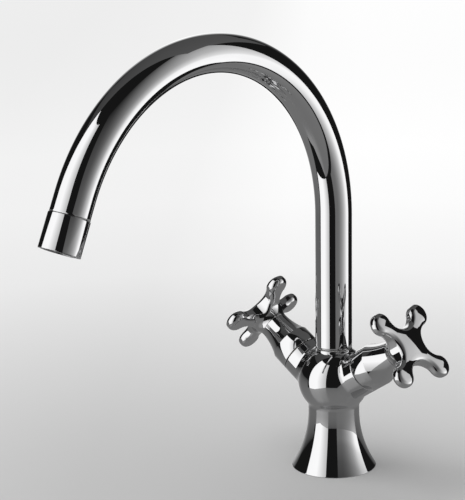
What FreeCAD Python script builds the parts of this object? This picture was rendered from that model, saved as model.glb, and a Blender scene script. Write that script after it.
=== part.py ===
import FreeCAD, Part
import math
import os
from types import SimpleNamespace

import Sketcher
from FreeCAD import Placement, Rotation, Vector

# Single-hole kitchen mixer: flared foot, ball body with two tilted arms, cross handles on
# ceramic quarter-turn valves, and a high C-shaped swivel spout with an aerator.
#
# Frame: origin on the deck at the centre of the foot, +Z up, the spout reaches towards -Y,
# the hot handle is at -X and the cold handle at +X. Millimetres and degrees.

DRIVING = {
    # spout
    "tube_dia": 25.0,
    "tube_wall": 1.2,
    "spout_rise": 178.0,
    "bend_radius": 121.4,
    "bend_sweep": 155.5,
    "tail_length": 12.1,
    # outlet sleeve and aerator
    "sleeve_dia": 26.0,
    "sleeve_length": 22.0,
    "sleeve_spigot": 6.0,
    "sleeve_edge": 0.4,
    "sleeve_throat_dia": 19.0,
    "sleeve_thread_dia": 23.0,
    "sleeve_thread_depth": 14.0,
    "aerator_wall": 1.5,
    "aerator_recess": 0.5,
    "aerator_lip": 2.0,
    "aerator_lip_width": 0.9,
    "aerator_notch_width": 3.0,
    "aerator_notch_depth": 1.2,
    "aerator_notches": 4,
    "aerator_gasket_thick": 1.5,
    "mesh_thick": 1.0,
    "mesh_hole_dia": 1.1,
    "grid_thick": 2.0,
    "grid_hole_dia": 2.0,
    "grid_hole_pitch": 2.7,
    "grid_hole_rings": 3,
    # foot, neck and ball
    "foot_dia": 58.0,
    "foot_edge": 0.5,
    "neck_dia": 35.0,
    "neck_height": 39.8,
    "ball_dia": 48.8,
    "ball_height": 62.0,
    "ball_neck_fillet": 1.2,
    "collar_dia": 25.2,
    "collar_height": 84.8,
    "spout_ring_gap": 0.7,
    # arms
    "arm_dia": 29.4,
    "arm_cross_height": 54.55,
    "arm_elevation": 33.5,
    "arm_face": 35.0,
    "arm_fillet": 2.0,
    "arm_edge": 0.3,
    "valve_seat": 20.0,
    "valve_bore_dia": 21.0,
    "bonnet_seal_dia": 23.8,
    "bonnet_seal_depth": 1.6,
    # waterways
    "inlet_spacing": 18.0,
    "inlet_thread_dia": 9.0,
    "inlet_thread_depth": 15.0,
    "riser_dia": 5.0,
    "riser_top_offset": 12.5,
    "seat_hole_dia": 6.0,
    "outlet_passage_dia": 3.2,
    "outlet_passage_offset": 8.8,
    "stud_spacing": 20.0,
    "stud_thread_dia": 6.8,
    "stud_thread_depth": 15.0,
    "thread_mouth": 0.5,
    # base gasket
    "gasket_dia": 48.0,
    "gasket_width": 3.0,
    "gasket_depth": 2.2,
    # spout bore, shank and its seals
    "spout_bore_dia": 19.0,
    "spout_bore_floor": 60.2,
    "shank_bore_dia": 12.4,
    "shank_spigot": 8.0,
    "shank_end_gap": 0.2,
    "o_ring_section": 1.5,
    "o_ring_groove_width": 1.9,
    "upper_o_ring_height": 81.6,
    "lower_o_ring_height": 76.6,
    "shank_waist_low": 67.2,
    "shank_waist_high": 74.2,
    "shank_port_dia": 4.4,
    "shank_ports": 4,
    "lock_height": 64.1,
    "lock_groove_width": 3.2,
    "lock_groove_depth": 1.5,
    "lock_screw_dia": 5.0,
    "lock_dog_dia": 2.8,
    "lock_dog_length": 3.0,
    "lock_recess": 1.2,
    "lock_dog_gap": 0.32,
    "lock_socket": 2.5,
    "glide_ring_width": 2.6,
    # valves
    "seat_seal_dia": 12.4,
    "seat_seal_thick": 1.5,
    "disc_dia": 15.8,
    "disc_thick": 2.5,
    "disc_port_dia": 4.2,
    "disc_port_offset": 4.2,
    "cage_dia": 18.0,
    "cage_lift": 0.3,
    "cage_window_width": 7.0,
    "cage_window_height": 3.4,
    "bonnet_thread_length": 6.6,
    "bonnet_flange_dia": 25.6,
    "bonnet_flange_thick": 1.2,
    "bonnet_hex": 21.0,
    "bonnet_hex_height": 4.0,
    "bonnet_neck_dia": 13.8,
    "bonnet_top": 44.0,
    "spindle_dia": 8.0,
    "spindle_flange_thick": 1.2,
    "spindle_square": 5.5,
    "spindle_top": 56.5,
    "dog_width": 4.0,
    "dog_length": 12.0,
    "dog_height": 1.1,
    "spindle_o_ring_section": 1.4,
    "spindle_groove_width": 1.6,
    "spindle_o_ring_place": 32.0,
    "circlip_dia": 12.0,
    "circlip_thick": 0.9,
    "circlip_groove_depth": 0.9,
    "circlip_opening": 4.7,
    # handles
    "skirt_wall": 1.5,
    "skirt_gap": 0.4,
    "skirt_shoulder": 46.8,
    "skirt_cavity_end": 45.6,
    "hub_dia": 20.4,
    "hub_seam": 65.0,
    "flare_angle": 25.0,
    "adaptor_dia": 12.8,
    "adaptor_top": 57.0,
    "spigot_dia": 9.9,
    "spigot_length": 7.4,
    "cross_plane": 78.8,
    "cross_thick": 8.0,
    "cross_rounding": 3.8,
    "root_radius": 7.5,
    "root_sweep": 72.0,
    "dish_depth": 1.2,
    "dish_reach": 15.0,
    "lobe_dia": 15.2,
    "lobe_reach": 26.3,
    "lobe_count": 4,
    "waist_width": 10.4,
    "screw_place": 50.8,
    "screw_dia": 3.3,
    "screw_length": 5.6,
    "screw_socket": 2.0,
    "hot_cross_turn": -2.5,
    "cold_cross_turn": 42.2,
    "hot_screw_turn": 56.5,
    "cold_screw_turn": -78.5,
    # clearances
    "running_gap": 0.05,
    "disc_gap": 0.1,
    "seal_gap": 0.08,
    "face_gap": 0.02,
    "thread_gap": 0.05,
}

doc = FreeCAD.newDocument("kitchen_mixer")
sheet = doc.addObject("Spreadsheet::Sheet", "Sizes")
for row, (alias, number) in enumerate(DRIVING.items(), start=1):
    sheet.set("A%d" % row, alias)
    sheet.set("B%d" % row, str(number))
    sheet.setAlias("B%d" % row, alias)
doc.recompute()


class Size:
    """A number together with the expression that ties it to the sheet."""

    def __init__(self, value, text):
        self.value = value
        self.text = text

    def __add__(self, other):
        other = as_size(other)
        return Size(self.value + other.value, "(%s + %s)" % (self.text, other.text))

    def __sub__(self, other):
        other = as_size(other)
        return Size(self.value - other.value, "(%s - %s)" % (self.text, other.text))

    def __mul__(self, other):
        other = as_size(other)
        return Size(self.value * other.value, "(%s * %s)" % (self.text, other.text))

    def __truediv__(self, other):
        other = as_size(other)
        return Size(self.value / other.value, "(%s / %s)" % (self.text, other.text))

    def __rsub__(self, other):
        return as_size(other) - self

    def __neg__(self):
        return as_size(0) - self

    __radd__ = __add__
    __rmul__ = __mul__


def as_size(number):
    if isinstance(number, Size):
        return number
    return Size(float(number), repr(float(number)))


def root(size):
    return Size(math.sqrt(size.value), "sqrt(%s)" % size.text)


def sine(angle):
    return Size(math.sin(math.radians(angle.value)), "sin(%s)" % angle.text)


def cosine(angle):
    return Size(math.cos(math.radians(angle.value)), "cos(%s)" % angle.text)


def slope_angle(across, along):
    """Angle in degrees, as a plain number, of a slope that goes across while it goes along."""
    degrees = math.degrees(math.atan2(across.value, along.value))
    return Size(degrees, "(atan(%s / %s) / 1 deg)" % (across.text, along.text))


s = SimpleNamespace(**{alias: Size(float(sheet.get(alias)), "Sizes." + alias) for alias in DRIVING})
ZERO = as_size(0)
pieces = []


# ---------------------------------------------------------------- building helpers

def new_piece(label):
    body = doc.addObject("PartDesign::Body", label)
    body.Label = label
    pieces.append(body)
    return body


def origin_item(body, role):
    return [item for item in body.Origin.OriginFeatures if item.Role == role][0]


def bind(thing, prop, size):
    """Set one number of an object and tie it to the sheet."""
    thing.setExpression(prop, as_size(size).text)


def attach(feature, body, role="XY_Plane", base=(ZERO, ZERO, ZERO), axis=(0, 0, 1), angle=ZERO):
    """Put a feature on an origin plane, shifted by base and turned by angle about axis."""
    feature.AttachmentSupport = [(origin_item(body, role), "")]
    feature.MapMode = "FlatFace"
    angle = as_size(angle)
    place = [as_size(part) for part in base]
    feature.AttachmentOffset = Placement(Vector(*[part.value for part in place]),
                                         Rotation(Vector(*axis), angle.value))
    for letter, part in zip("xyz", place):
        bind(feature, "AttachmentOffset.Base." + letter, part)
    if angle.text != ZERO.text:
        bind(feature, "AttachmentOffset.Rotation.Angle", angle)


def arc_between(start, end, radius, side):
    """The short arc from start to end. side is 1 where its centre lies left of the way."""
    chord = end - start
    middle = (start + end) * 0.5
    normal = Vector(-chord.y, chord.x, 0).normalize() * side
    centre = middle + normal * math.sqrt(max(radius ** 2 - (chord.Length / 2) ** 2, 0.0))
    first, last = (start, end) if side > 0 else (end, start)
    angles = [math.atan2(point.y - centre.y, point.x - centre.x) for point in (first, last)]
    circle = Part.Circle(centre, Vector(0, 0, 1), radius)
    return Part.ArcOfCircle(circle, angles[0], angles[1])


def outline(body, name, role, corners, arcs=None, **place):
    """Sketch a closed outline through corners. arcs maps an edge number to (radius, side)."""
    arcs = arcs or {}
    sketch = body.newObject("Sketcher::SketchObject", name)
    attach(sketch, body, role, **place)
    corners = [(as_size(across), as_size(up)) for across, up in corners]
    count = len(corners)
    points = [Vector(across.value, up.value, 0) for across, up in corners]
    ends = []
    for edge in range(count):
        start, end = points[edge], points[(edge + 1) % count]
        if edge in arcs:
            radius, side = as_size(arcs[edge][0]), arcs[edge][1]
            sketch.addGeometry(arc_between(start, end, radius.value, side), False)
            ends.append((1, 2) if side > 0 else (2, 1))
        else:
            sketch.addGeometry(Part.LineSegment(start, end), False)
            ends.append((1, 2))
    for edge in range(count):
        after = (edge + 1) % count
        sketch.addConstraint(Sketcher.Constraint("Coincident", edge, ends[edge][1], after, ends[after][0]))
    for edge, (across, up) in enumerate(corners):
        for kind, size in (("DistanceX", across), ("DistanceY", up)):
            index = sketch.addConstraint(
                Sketcher.Constraint(kind, -1, 1, edge, ends[edge][0], size.value))
            bind(sketch, "Constraints[%d]" % index, size)
    for edge, (radius, side) in arcs.items():
        index = sketch.addConstraint(Sketcher.Constraint("Radius", edge, as_size(radius).value))
        bind(sketch, "Constraints[%d]" % index, radius)
    return sketch


def add_circle(sketch, radius):
    """Add a circle about the sketch's origin."""
    number = sketch.addGeometry(Part.Circle(Vector(0, 0, 0), Vector(0, 0, 1), radius.value), False)
    sketch.addConstraint(Sketcher.Constraint("Coincident", number, 3, -1, 1))
    index = sketch.addConstraint(Sketcher.Constraint("Radius", number, radius.value))
    bind(sketch, "Constraints[%d]" % index, radius)


def turned(body, name, corners, arcs=None):
    """Turn an outline of (radius, height) corners about the piece's own Z axis."""
    sketch = outline(body, name + "_outline", "XZ_Plane", corners, arcs)
    feature = body.newObject("PartDesign::Revolution", name)
    feature.Profile = sketch
    feature.ReferenceAxis = (sketch, ["V_Axis"])
    feature.Angle = 360
    return feature


def ring(body, name, inner, outer, low, high):
    """A plain ring with a rectangular section."""
    return turned(body, name, [(inner, low), (outer, low), (outer, high), (inner, high)])


def o_ring(body, name, bottom_radius, section, height):
    """A round rubber ring whose inside touches a groove bottom."""
    feature = body.newObject("PartDesign::AdditiveTorus", name)
    attach(feature, body, base=(ZERO, ZERO, height))
    bind(feature, "Radius1", bottom_radius + section / 2)
    bind(feature, "Radius2", section / 2)
    return feature


def cylinder(body, name, cut, radius, height, **place):
    kind = "PartDesign::SubtractiveCylinder" if cut else "PartDesign::AdditiveCylinder"
    feature = body.newObject(kind, name)
    attach(feature, body, **place)
    bind(feature, "Radius", radius)
    bind(feature, "Height", height)
    return feature


def prism(body, name, cut, sides, corner_radius, height, **place):
    kind = "PartDesign::SubtractivePrism" if cut else "PartDesign::AdditivePrism"
    feature = body.newObject(kind, name)
    feature.Polygon = sides
    attach(feature, body, **place)
    bind(feature, "Circumradius", corner_radius)
    bind(feature, "Height", height)
    return feature


def block(body, name, cut, width, length, height, low, shift=(ZERO, ZERO), **place):
    """A box centred on shift, standing on low."""
    kind = "PartDesign::SubtractiveBox" if cut else "PartDesign::AdditiveBox"
    feature = body.newObject(kind, name)
    base = (shift[0] - as_size(width) / 2, shift[1] - as_size(length) / 2, low)
    attach(feature, body, base=base, **place)
    bind(feature, "Length", width)
    bind(feature, "Width", length)
    bind(feature, "Height", height)
    return feature


def around(body, name, feature, count):
    """Repeat a feature evenly about the piece's own Z axis."""
    pattern = body.newObject("PartDesign::PolarPattern", name)
    pattern.Originals = [feature]
    pattern.Axis = (origin_item(body, "Z_Axis"), [""])
    pattern.Angle = 360
    bind(pattern, "Occurrences", count)
    body.Tip = pattern
    return pattern


def radial(angle, place_along, reach):
    """Placing of a feature whose own Z axis points out sideways at angle, starting at reach."""
    base = (reach * sine(angle), place_along, reach * cosine(angle))
    return {"role": "YZ_Plane", "base": base, "axis": (0, 1, 0), "angle": angle}


def edges_where(shape, test):
    """Names of the edges, other than upright ones, whose sampled points all pass the test."""
    names = []
    for number, edge in enumerate(shape.Edges, start=1):
        spread = max(edge.BoundBox.XLength, edge.BoundBox.YLength)
        if spread > 0.01 and all(test(point) for point in edge.discretize(9)):
            names.append("Edge%d" % number)
    return names


def dress(body, kind, name, test, prop, size):
    """Round or bevel the edges of the piece so far whose points pass the test."""
    doc.recompute()
    before = body.Tip
    feature = body.newObject("PartDesign::" + kind, name)
    feature.Base = (before, edges_where(before.Shape, test))
    bind(feature, prop, size)
    doc.recompute()


def set_on_arm(body, side):
    """Stand a piece on an arm: its Z axis along the arm, its origin where the arms' axes cross."""
    tilt = (90 - s.arm_elevation) * side
    body.Placement = Placement(Vector(0, 0, s.arm_cross_height.value),
                               Rotation(Vector(0, 1, 0), tilt.value))
    bind(body, "Placement.Base.z", s.arm_cross_height)
    bind(body, "Placement.Rotation.Angle", tilt)


def set_on_outlet(body):
    """Stand a piece on the spout's end: its Z axis down the outlet, its origin at the sleeve's top."""
    back = s.bend_radius * (1 - cosine(s.bend_sweep)) + s.tail_length * sine(s.bend_sweep)
    height = s.spout_rise + s.bend_radius * sine(s.bend_sweep) + s.tail_length * cosine(s.bend_sweep)
    body.Placement = Placement(Vector(0, -back.value, height.value),
                               Rotation(Vector(1, 0, 0), s.bend_sweep.value))
    bind(body, "Placement.Base.y", -back)
    bind(body, "Placement.Base.z", height)
    bind(body, "Placement.Rotation.Angle", s.bend_sweep)


# ---------------------------------------------------------------- sizes worked out from the others

tube_radius = s.tube_dia / 2
tube_inside = tube_radius - s.tube_wall
tube_low = s.collar_height + s.spout_ring_gap
ball_radius = s.ball_dia / 2
arm_radius = s.arm_dia / 2
neck_radius = s.neck_dia / 2
spout_bore = s.spout_bore_dia / 2
valve_bore = s.valve_bore_dia / 2

seal_top = s.valve_seat + s.seat_seal_thick
fixed_top = seal_top + s.disc_thick
moving_low = fixed_top + s.face_gap
moving_top = moving_low + s.disc_thick
flange_low = moving_top + s.face_gap
flange_top = flange_low + s.spindle_flange_thick
cavity_top = flange_top + s.running_gap
disc_cavity = s.disc_dia / 2 + s.disc_gap
spindle_radius = s.spindle_dia / 2 - s.running_gap
spindle_bore = s.spindle_dia / 2
hex_low = s.arm_face + s.bonnet_flange_thick
skirt_low = s.arm_face + s.skirt_gap
skirt_inside = arm_radius - s.skirt_wall
adaptor_bore = s.adaptor_dia / 2 + s.thread_gap
spigot_radius = s.spigot_dia / 2
circlip_low = s.bonnet_top + s.running_gap
adaptor_low = circlip_low + s.circlip_thick + s.seal_gap
shank_groove_bottom = spout_bore - s.seal_gap - s.o_ring_section
shank_radius = spout_bore - s.running_gap
sleeve_thread_top = s.sleeve_length - s.sleeve_thread_depth


# ---------------------------------------------------------------- body casting

def make_mixer_body():
    body = new_piece("mixer_body")
    foot_radius = s.foot_dia / 2
    flare_in = foot_radius - neck_radius
    flare_up = s.neck_height - s.foot_edge
    flare_radius = (flare_in * flare_in + flare_up * flare_up) / (flare_in * 2)
    fillet = s.ball_neck_fillet
    reach = neck_radius + fillet
    drop = root((ball_radius + fillet) * (ball_radius + fillet) - reach * reach)
    share = ball_radius / (ball_radius + fillet)
    collar = s.collar_dia / 2
    collar_low = s.ball_height + root(ball_radius * ball_radius - collar * collar)
    corners = [
        (ZERO, ZERO),
        (foot_radius - s.foot_edge, ZERO),
        (foot_radius, s.foot_edge),
        (neck_radius, s.neck_height),
        (neck_radius, s.ball_height - drop),
        (reach * share, s.ball_height - drop * share),
        (ball_radius, s.ball_height),
        (collar, collar_low),
        (collar, s.collar_height),
        (ZERO, s.collar_height),
    ]
    arcs = {
        1: (s.foot_edge, 1),
        2: (flare_radius, -1),
        4: (fillet, -1),
        5: (ball_radius, 1),
        6: (ball_radius, 1),
    }
    turned(body, "foot_and_ball", corners, arcs)

    up = s.arm_cross_height
    for name, side in (("hot", -1), ("cold", 1)):
        tilt = (90 - s.arm_elevation) * side
        cylinder(body, name + "_arm", False, arm_radius, s.arm_face,
                 base=(ZERO, ZERO, up), axis=(0, 1, 0), angle=tilt)

    def on_ball_and_arm(point):
        from_ball = (point - Vector(0, 0, s.ball_height.value)).Length
        return abs(from_ball - ball_radius.value) < 0.01 and arm_distance(point) < 0.01

    def on_arm_end(point):
        return arm_distance(point) < 0.01 and abs(along_arm(point) - s.arm_face.value) < 0.01

    dress(body, "Fillet", "arm_root_fillet", on_ball_and_arm, "Radius", s.arm_fillet)
    dress(body, "Chamfer", "arm_end_edge", on_arm_end, "Size", s.arm_edge)

    cylinder(body, "spout_bore", True, spout_bore, s.collar_height - s.spout_bore_floor,
             base=(ZERO, ZERO, s.spout_bore_floor))
    for name, side in (("hot", -1), ("cold", 1)):
        tilt = (90 - s.arm_elevation) * side
        lean = {"axis": (0, 1, 0), "angle": tilt}
        across, rise = cosine(s.arm_elevation) * side, sine(s.arm_elevation)

        def on_axis(distance):
            return (across * distance, ZERO, up + rise * distance)

        cylinder(body, name + "_valve_bore", True, valve_bore, s.arm_face - s.valve_seat,
                 base=on_axis(s.valve_seat), **lean)
        cylinder(body, name + "_seal_seat", True, s.bonnet_seal_dia / 2, s.bonnet_seal_depth,
                 base=on_axis(s.arm_face - s.bonnet_seal_depth), **lean)
        riser_meets = s.riser_top_offset / cosine(s.arm_elevation)
        cylinder(body, name + "_seat_hole", True, s.seat_hole_dia / 2, s.valve_seat - riser_meets,
                 base=on_axis(riser_meets), **lean)

        inlet = s.inlet_spacing / 2 * side
        cylinder(body, name + "_inlet", True, s.inlet_thread_dia / 2, s.inlet_thread_depth,
                 base=(inlet, ZERO, ZERO))
        riser_low = s.inlet_thread_depth - s.riser_dia / 2
        riser_high = on_axis(riser_meets)[2]
        shift = s.riser_top_offset - s.inlet_spacing / 2
        climb = riser_high - riser_low
        lean_angle = slope_angle(shift, climb) * side
        cylinder(body, name + "_riser", True, s.riser_dia / 2,
                 root(shift * shift + climb * climb),
                 base=(inlet, ZERO, riser_low), axis=(0, 1, 0), angle=lean_angle)

        start = on_axis(s.valve_seat + s.face_gap)
        offset = s.outlet_passage_offset
        inner_end = (spout_bore - s.shank_port_dia / 4) / cosine(s.arm_elevation)
        passage = s.valve_seat + s.face_gap - inner_end - offset * sine(s.arm_elevation) / cosine(
            s.arm_elevation)
        base = (start[0] - across * passage - rise * offset * side, ZERO,
                start[2] - rise * passage + cosine(s.arm_elevation) * offset)
        cylinder(body, name + "_outlet_passage", True, s.outlet_passage_dia / 2, passage,
                 base=base, **lean)

    for name, way in (("front", -1), ("rear", 1)):
        cylinder(body, name + "_stud_hole", True, s.stud_thread_dia / 2, s.stud_thread_depth,
                 base=(ZERO, s.stud_spacing / 2 * way, ZERO))
    middle = s.gasket_dia / 2
    half = s.gasket_width / 2
    sketch = outline(body, "gasket_groove_outline", "XZ_Plane", [
        (middle - half, ZERO), (middle + half, ZERO),
        (middle + half, s.gasket_depth), (middle - half, s.gasket_depth)])
    groove = body.newObject("PartDesign::Groove", "gasket_groove")
    groove.Profile = sketch
    groove.ReferenceAxis = (sketch, ["V_Axis"])
    groove.Angle = 360
    cylinder(body, "lock_screw_hole", True, s.lock_screw_dia / 2, ball_radius,
             **radial(as_size(90), s.lock_height, ZERO))

    def on_mouth(point):
        from_inlet = abs(abs(point.x) - s.inlet_spacing.value / 2)
        flat = abs(point.z) < 0.001
        inlet_gap = abs(math.hypot(from_inlet, point.y) - s.inlet_thread_dia.value / 2)
        from_stud = abs(abs(point.y) - s.stud_spacing.value / 2)
        stud_gap = abs(math.hypot(point.x, from_stud) - s.stud_thread_dia.value / 2)
        return flat and min(inlet_gap, stud_gap) < 0.01

    dress(body, "Chamfer", "thread_mouths", on_mouth, "Size", s.thread_mouth)


def along_arm(point):
    """Distance from the crossing point along the nearer arm's axis."""
    angle = math.radians(s.arm_elevation.value)
    return abs(point.x) * math.cos(angle) + (point.z - s.arm_cross_height.value) * math.sin(angle)


def arm_distance(point):
    """Distance of a point from the nearer arm's surface."""
    angle = math.radians(s.arm_elevation.value)
    beside = -abs(point.x) * math.sin(angle) + (point.z - s.arm_cross_height.value) * math.cos(angle)
    return abs(math.hypot(beside, point.y) - arm_radius.value)


def make_base_gasket():
    body = new_piece("base_gasket")
    middle = s.gasket_dia / 2
    half = s.gasket_width / 2 - s.thread_gap
    ring(body, "ring", middle - half, middle + half, ZERO, s.gasket_depth)


def make_spout_lock_screw():
    body = new_piece("spout_lock_screw")
    back = as_size(90)
    dog_start = shank_radius - s.lock_groove_depth + s.lock_dog_gap
    thread_start = dog_start + s.lock_dog_length
    thread_end = ball_radius - s.lock_recess
    radius = s.lock_screw_dia / 2
    cylinder(body, "thread", False, radius, thread_end - thread_start,
             **radial(back, s.lock_height, thread_start))
    cylinder(body, "dog", False, s.lock_dog_dia / 2, s.lock_dog_length,
             **radial(back, s.lock_height, dog_start))
    prism(body, "socket", True, 6, s.lock_socket / 2 / cosine(as_size(30)), s.lock_socket,
          **radial(back, s.lock_height, thread_end - s.lock_socket))


# ---------------------------------------------------------------- valves

def make_valve_bonnet(name, side):
    body = new_piece(name + "_valve_bonnet")
    cage_low = s.valve_seat + s.cage_lift
    thread_low = s.arm_face - s.bonnet_thread_length
    cage = s.cage_dia / 2
    thread = valve_bore - s.thread_gap
    flange = s.bonnet_flange_dia / 2
    neck = s.bonnet_neck_dia / 2
    turned(body, "turned_form", [
        (disc_cavity, cage_low), (cage, cage_low), (cage, thread_low), (thread, thread_low),
        (thread, s.arm_face), (flange, s.arm_face), (flange, hex_low), (neck, hex_low),
        (neck, s.bonnet_top), (spindle_bore, s.bonnet_top), (spindle_bore, cavity_top),
        (disc_cavity, cavity_top)])
    prism(body, "hexagon", False, 6, s.bonnet_hex / 2 / cosine(as_size(30)), s.bonnet_hex_height,
          base=(ZERO, ZERO, hex_low))
    cylinder(body, "hexagon_bore", True, spindle_bore, s.bonnet_hex_height,
             base=(ZERO, ZERO, hex_low))
    block(body, "windows", True, s.cage_dia * 2, s.cage_window_width, s.cage_window_height,
          fixed_top)
    set_on_arm(body, side)


def make_bonnet_seal(name, side):
    body = new_piece(name + "_bonnet_seal")
    ring(body, "ring", valve_bore, s.bonnet_seal_dia / 2 - s.thread_gap,
         s.arm_face - s.bonnet_seal_depth, s.arm_face)
    set_on_arm(body, side)


def make_seat_seal(name, side):
    body = new_piece(name + "_seat_seal")
    ring(body, "ring", s.seat_hole_dia / 2 + s.thread_gap, s.seat_seal_dia / 2, s.valve_seat, seal_top)
    set_on_arm(body, side)


def make_disc(label, side, low, port_angle, dog_slot):
    body = new_piece(label)
    cylinder(body, "disc", False, s.disc_dia / 2, s.disc_thick, base=(ZERO, ZERO, low))
    for place, way in (("near", -1), ("far", 1)):
        offset = s.disc_port_offset * way
        base = (offset, ZERO, low) if port_angle == 0 else (ZERO, offset, low)
        cylinder(body, place + "_port", True, s.disc_port_dia / 2, s.disc_thick, base=base)
    if dog_slot:
        block(body, "dog_slot", True, s.dog_length + s.seal_gap, s.dog_width + s.seal_gap,
              s.dog_height + s.face_gap, low + s.disc_thick - s.dog_height - s.face_gap)
    set_on_arm(body, side)


def make_valve_spindle(name, side):
    body = new_piece(name + "_valve_spindle")
    groove_half = s.spindle_groove_width / 2
    groove = spindle_bore - s.seal_gap - s.spindle_o_ring_section
    clip_bottom = spindle_radius - s.circlip_groove_depth
    clip_top = circlip_low + s.circlip_thick + s.face_gap
    square_low = clip_top + s.circlip_thick
    place = s.spindle_o_ring_place
    turned(body, "turned_form", [
        (ZERO, flange_low), (s.disc_dia / 2, flange_low), (s.disc_dia / 2, flange_top),
        (spindle_radius, flange_top), (spindle_radius, place - groove_half),
        (groove, place - groove_half), (groove, place + groove_half),
        (spindle_radius, place + groove_half), (spindle_radius, s.bonnet_top),
        (clip_bottom, s.bonnet_top), (clip_bottom, clip_top), (spindle_radius, clip_top),
        (spindle_radius, square_low), (ZERO, square_low)])
    prism(body, "square", False, 4, s.spindle_square / 2 * root(as_size(2)), s.spindle_top - square_low,
          base=(ZERO, ZERO, square_low))
    block(body, "dog", False, s.dog_length, s.dog_width, s.dog_height, flange_low - s.dog_height)
    set_on_arm(body, side)


def make_spindle_o_ring(name, side):
    body = new_piece(name + "_spindle_o_ring")
    bottom = spindle_bore - s.seal_gap - s.spindle_o_ring_section
    o_ring(body, "ring", bottom, s.spindle_o_ring_section, s.spindle_o_ring_place)
    set_on_arm(body, side)


def make_spindle_circlip(name, side):
    body = new_piece(name + "_spindle_circlip")
    inside = spindle_radius - s.circlip_groove_depth + s.face_gap
    outside = s.circlip_dia / 2
    ring(body, "clip", inside, outside, circlip_low, circlip_low + s.circlip_thick)
    block(body, "gap", True, s.circlip_dia, s.circlip_opening, s.circlip_thick, circlip_low,
          shift=(s.circlip_dia / 2, ZERO))
    set_on_arm(body, side)


# ---------------------------------------------------------------- handles

def make_drive_adaptor(name, side):
    body = new_piece(name + "_drive_adaptor")
    cylinder(body, "bush", False, s.adaptor_dia / 2, s.adaptor_top - adaptor_low,
             base=(ZERO, ZERO, adaptor_low))
    socket = (s.spindle_square / 2 + s.thread_gap) * root(as_size(2))
    prism(body, "square_socket", True, 4, socket, s.adaptor_top - adaptor_low,
          base=(ZERO, ZERO, adaptor_low))
    cylinder(body, "shaft_clearance", True, spindle_bore, s.circlip_thick + s.seal_gap,
             base=(ZERO, ZERO, adaptor_low))
    set_on_arm(body, side)


def make_handle_skirt(name, side, screw_turn):
    body = new_piece(name + "_handle_skirt")
    hub = s.hub_dia / 2
    flare_in = arm_radius - hub
    flare_up = s.hub_seam - s.skirt_shoulder
    chord = root(flare_in * flare_in + flare_up * flare_up)
    flare_radius = chord / 2 / sine(s.flare_angle - slope_angle(flare_in, flare_up))
    edge = s.arm_edge
    turned(body, "shell", [
        (skirt_inside, skirt_low), (arm_radius - edge, skirt_low), (arm_radius, skirt_low + edge),
        (arm_radius, s.skirt_shoulder), (hub, s.hub_seam), (spigot_radius + s.thread_gap, s.hub_seam),
        (spigot_radius + s.thread_gap, s.adaptor_top + s.seal_gap),
        (adaptor_bore, s.adaptor_top + s.seal_gap), (adaptor_bore, s.skirt_cavity_end),
        (skirt_inside, s.skirt_cavity_end)],
        {3: (flare_radius, -1)})
    cylinder(body, "screw_hole", True, s.screw_dia / 2, arm_radius,
             **radial(screw_turn, s.screw_place, adaptor_bore / 2))
    set_on_arm(body, side)


def make_handle_screw(name, side, screw_turn):
    body = new_piece(name + "_handle_screw")
    start = s.adaptor_dia / 2
    cylinder(body, "thread", False, s.screw_dia / 2 - s.thread_gap, s.screw_length,
             **radial(screw_turn, s.screw_place, start))
    prism(body, "socket", True, 6, s.screw_socket / 2 / cosine(as_size(30)), s.screw_socket,
          **radial(screw_turn, s.screw_place, start + s.screw_length - s.screw_socket))
    set_on_arm(body, side)


def hollow_sizes():
    """Each hollow between two arms is one arc that touches both lobe circles and leaves the arms
    waist_width wide where they are narrowest: the distance of its centre, and its radius."""
    lobe = s.lobe_dia / 2
    half_step = as_size(180) / s.lobe_count
    over, along = sine(half_step), cosine(half_step)
    spare = lobe - s.waist_width / 2
    lean = s.lobe_reach * along + spare * over
    rest = (s.lobe_reach * s.lobe_reach - spare * spare) * along * along
    centre = (lean - root(lean * lean - rest)) / (along * along)
    return centre, centre * over - s.waist_width / 2


def cross_outline(body, turn, height, blank):
    """Sketch the lobes and the hollows between them, inside the circle of the blank."""
    lobe = s.lobe_dia / 2
    centre, hollow = hollow_sizes()
    half_step = as_size(180) / s.lobe_count
    share = lobe / (lobe + hollow)
    touch_out = s.lobe_reach + (centre * cosine(half_step) - s.lobe_reach) * share
    touch_side = centre * sine(half_step) * share
    tip = s.lobe_reach + lobe
    corners, arcs = [], {}
    for arm in range(int(s.lobe_count.value)):
        angle = half_step * (2 * arm)
        for out, aside in ((touch_out, -touch_side), (tip, ZERO), (touch_out, touch_side)):
            corners.append((out * cosine(angle) - aside * sine(angle),
                            out * sine(angle) + aside * cosine(angle)))
        arcs[arm * 3] = (lobe, 1)
        arcs[arm * 3 + 1] = (lobe, 1)
        arcs[arm * 3 + 2] = (hollow, -1)
    sketch = outline(body, "cross_outline", "XY_Plane", corners, arcs,
                     base=(ZERO, ZERO, height), angle=turn)
    add_circle(sketch, blank)
    return sketch


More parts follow.
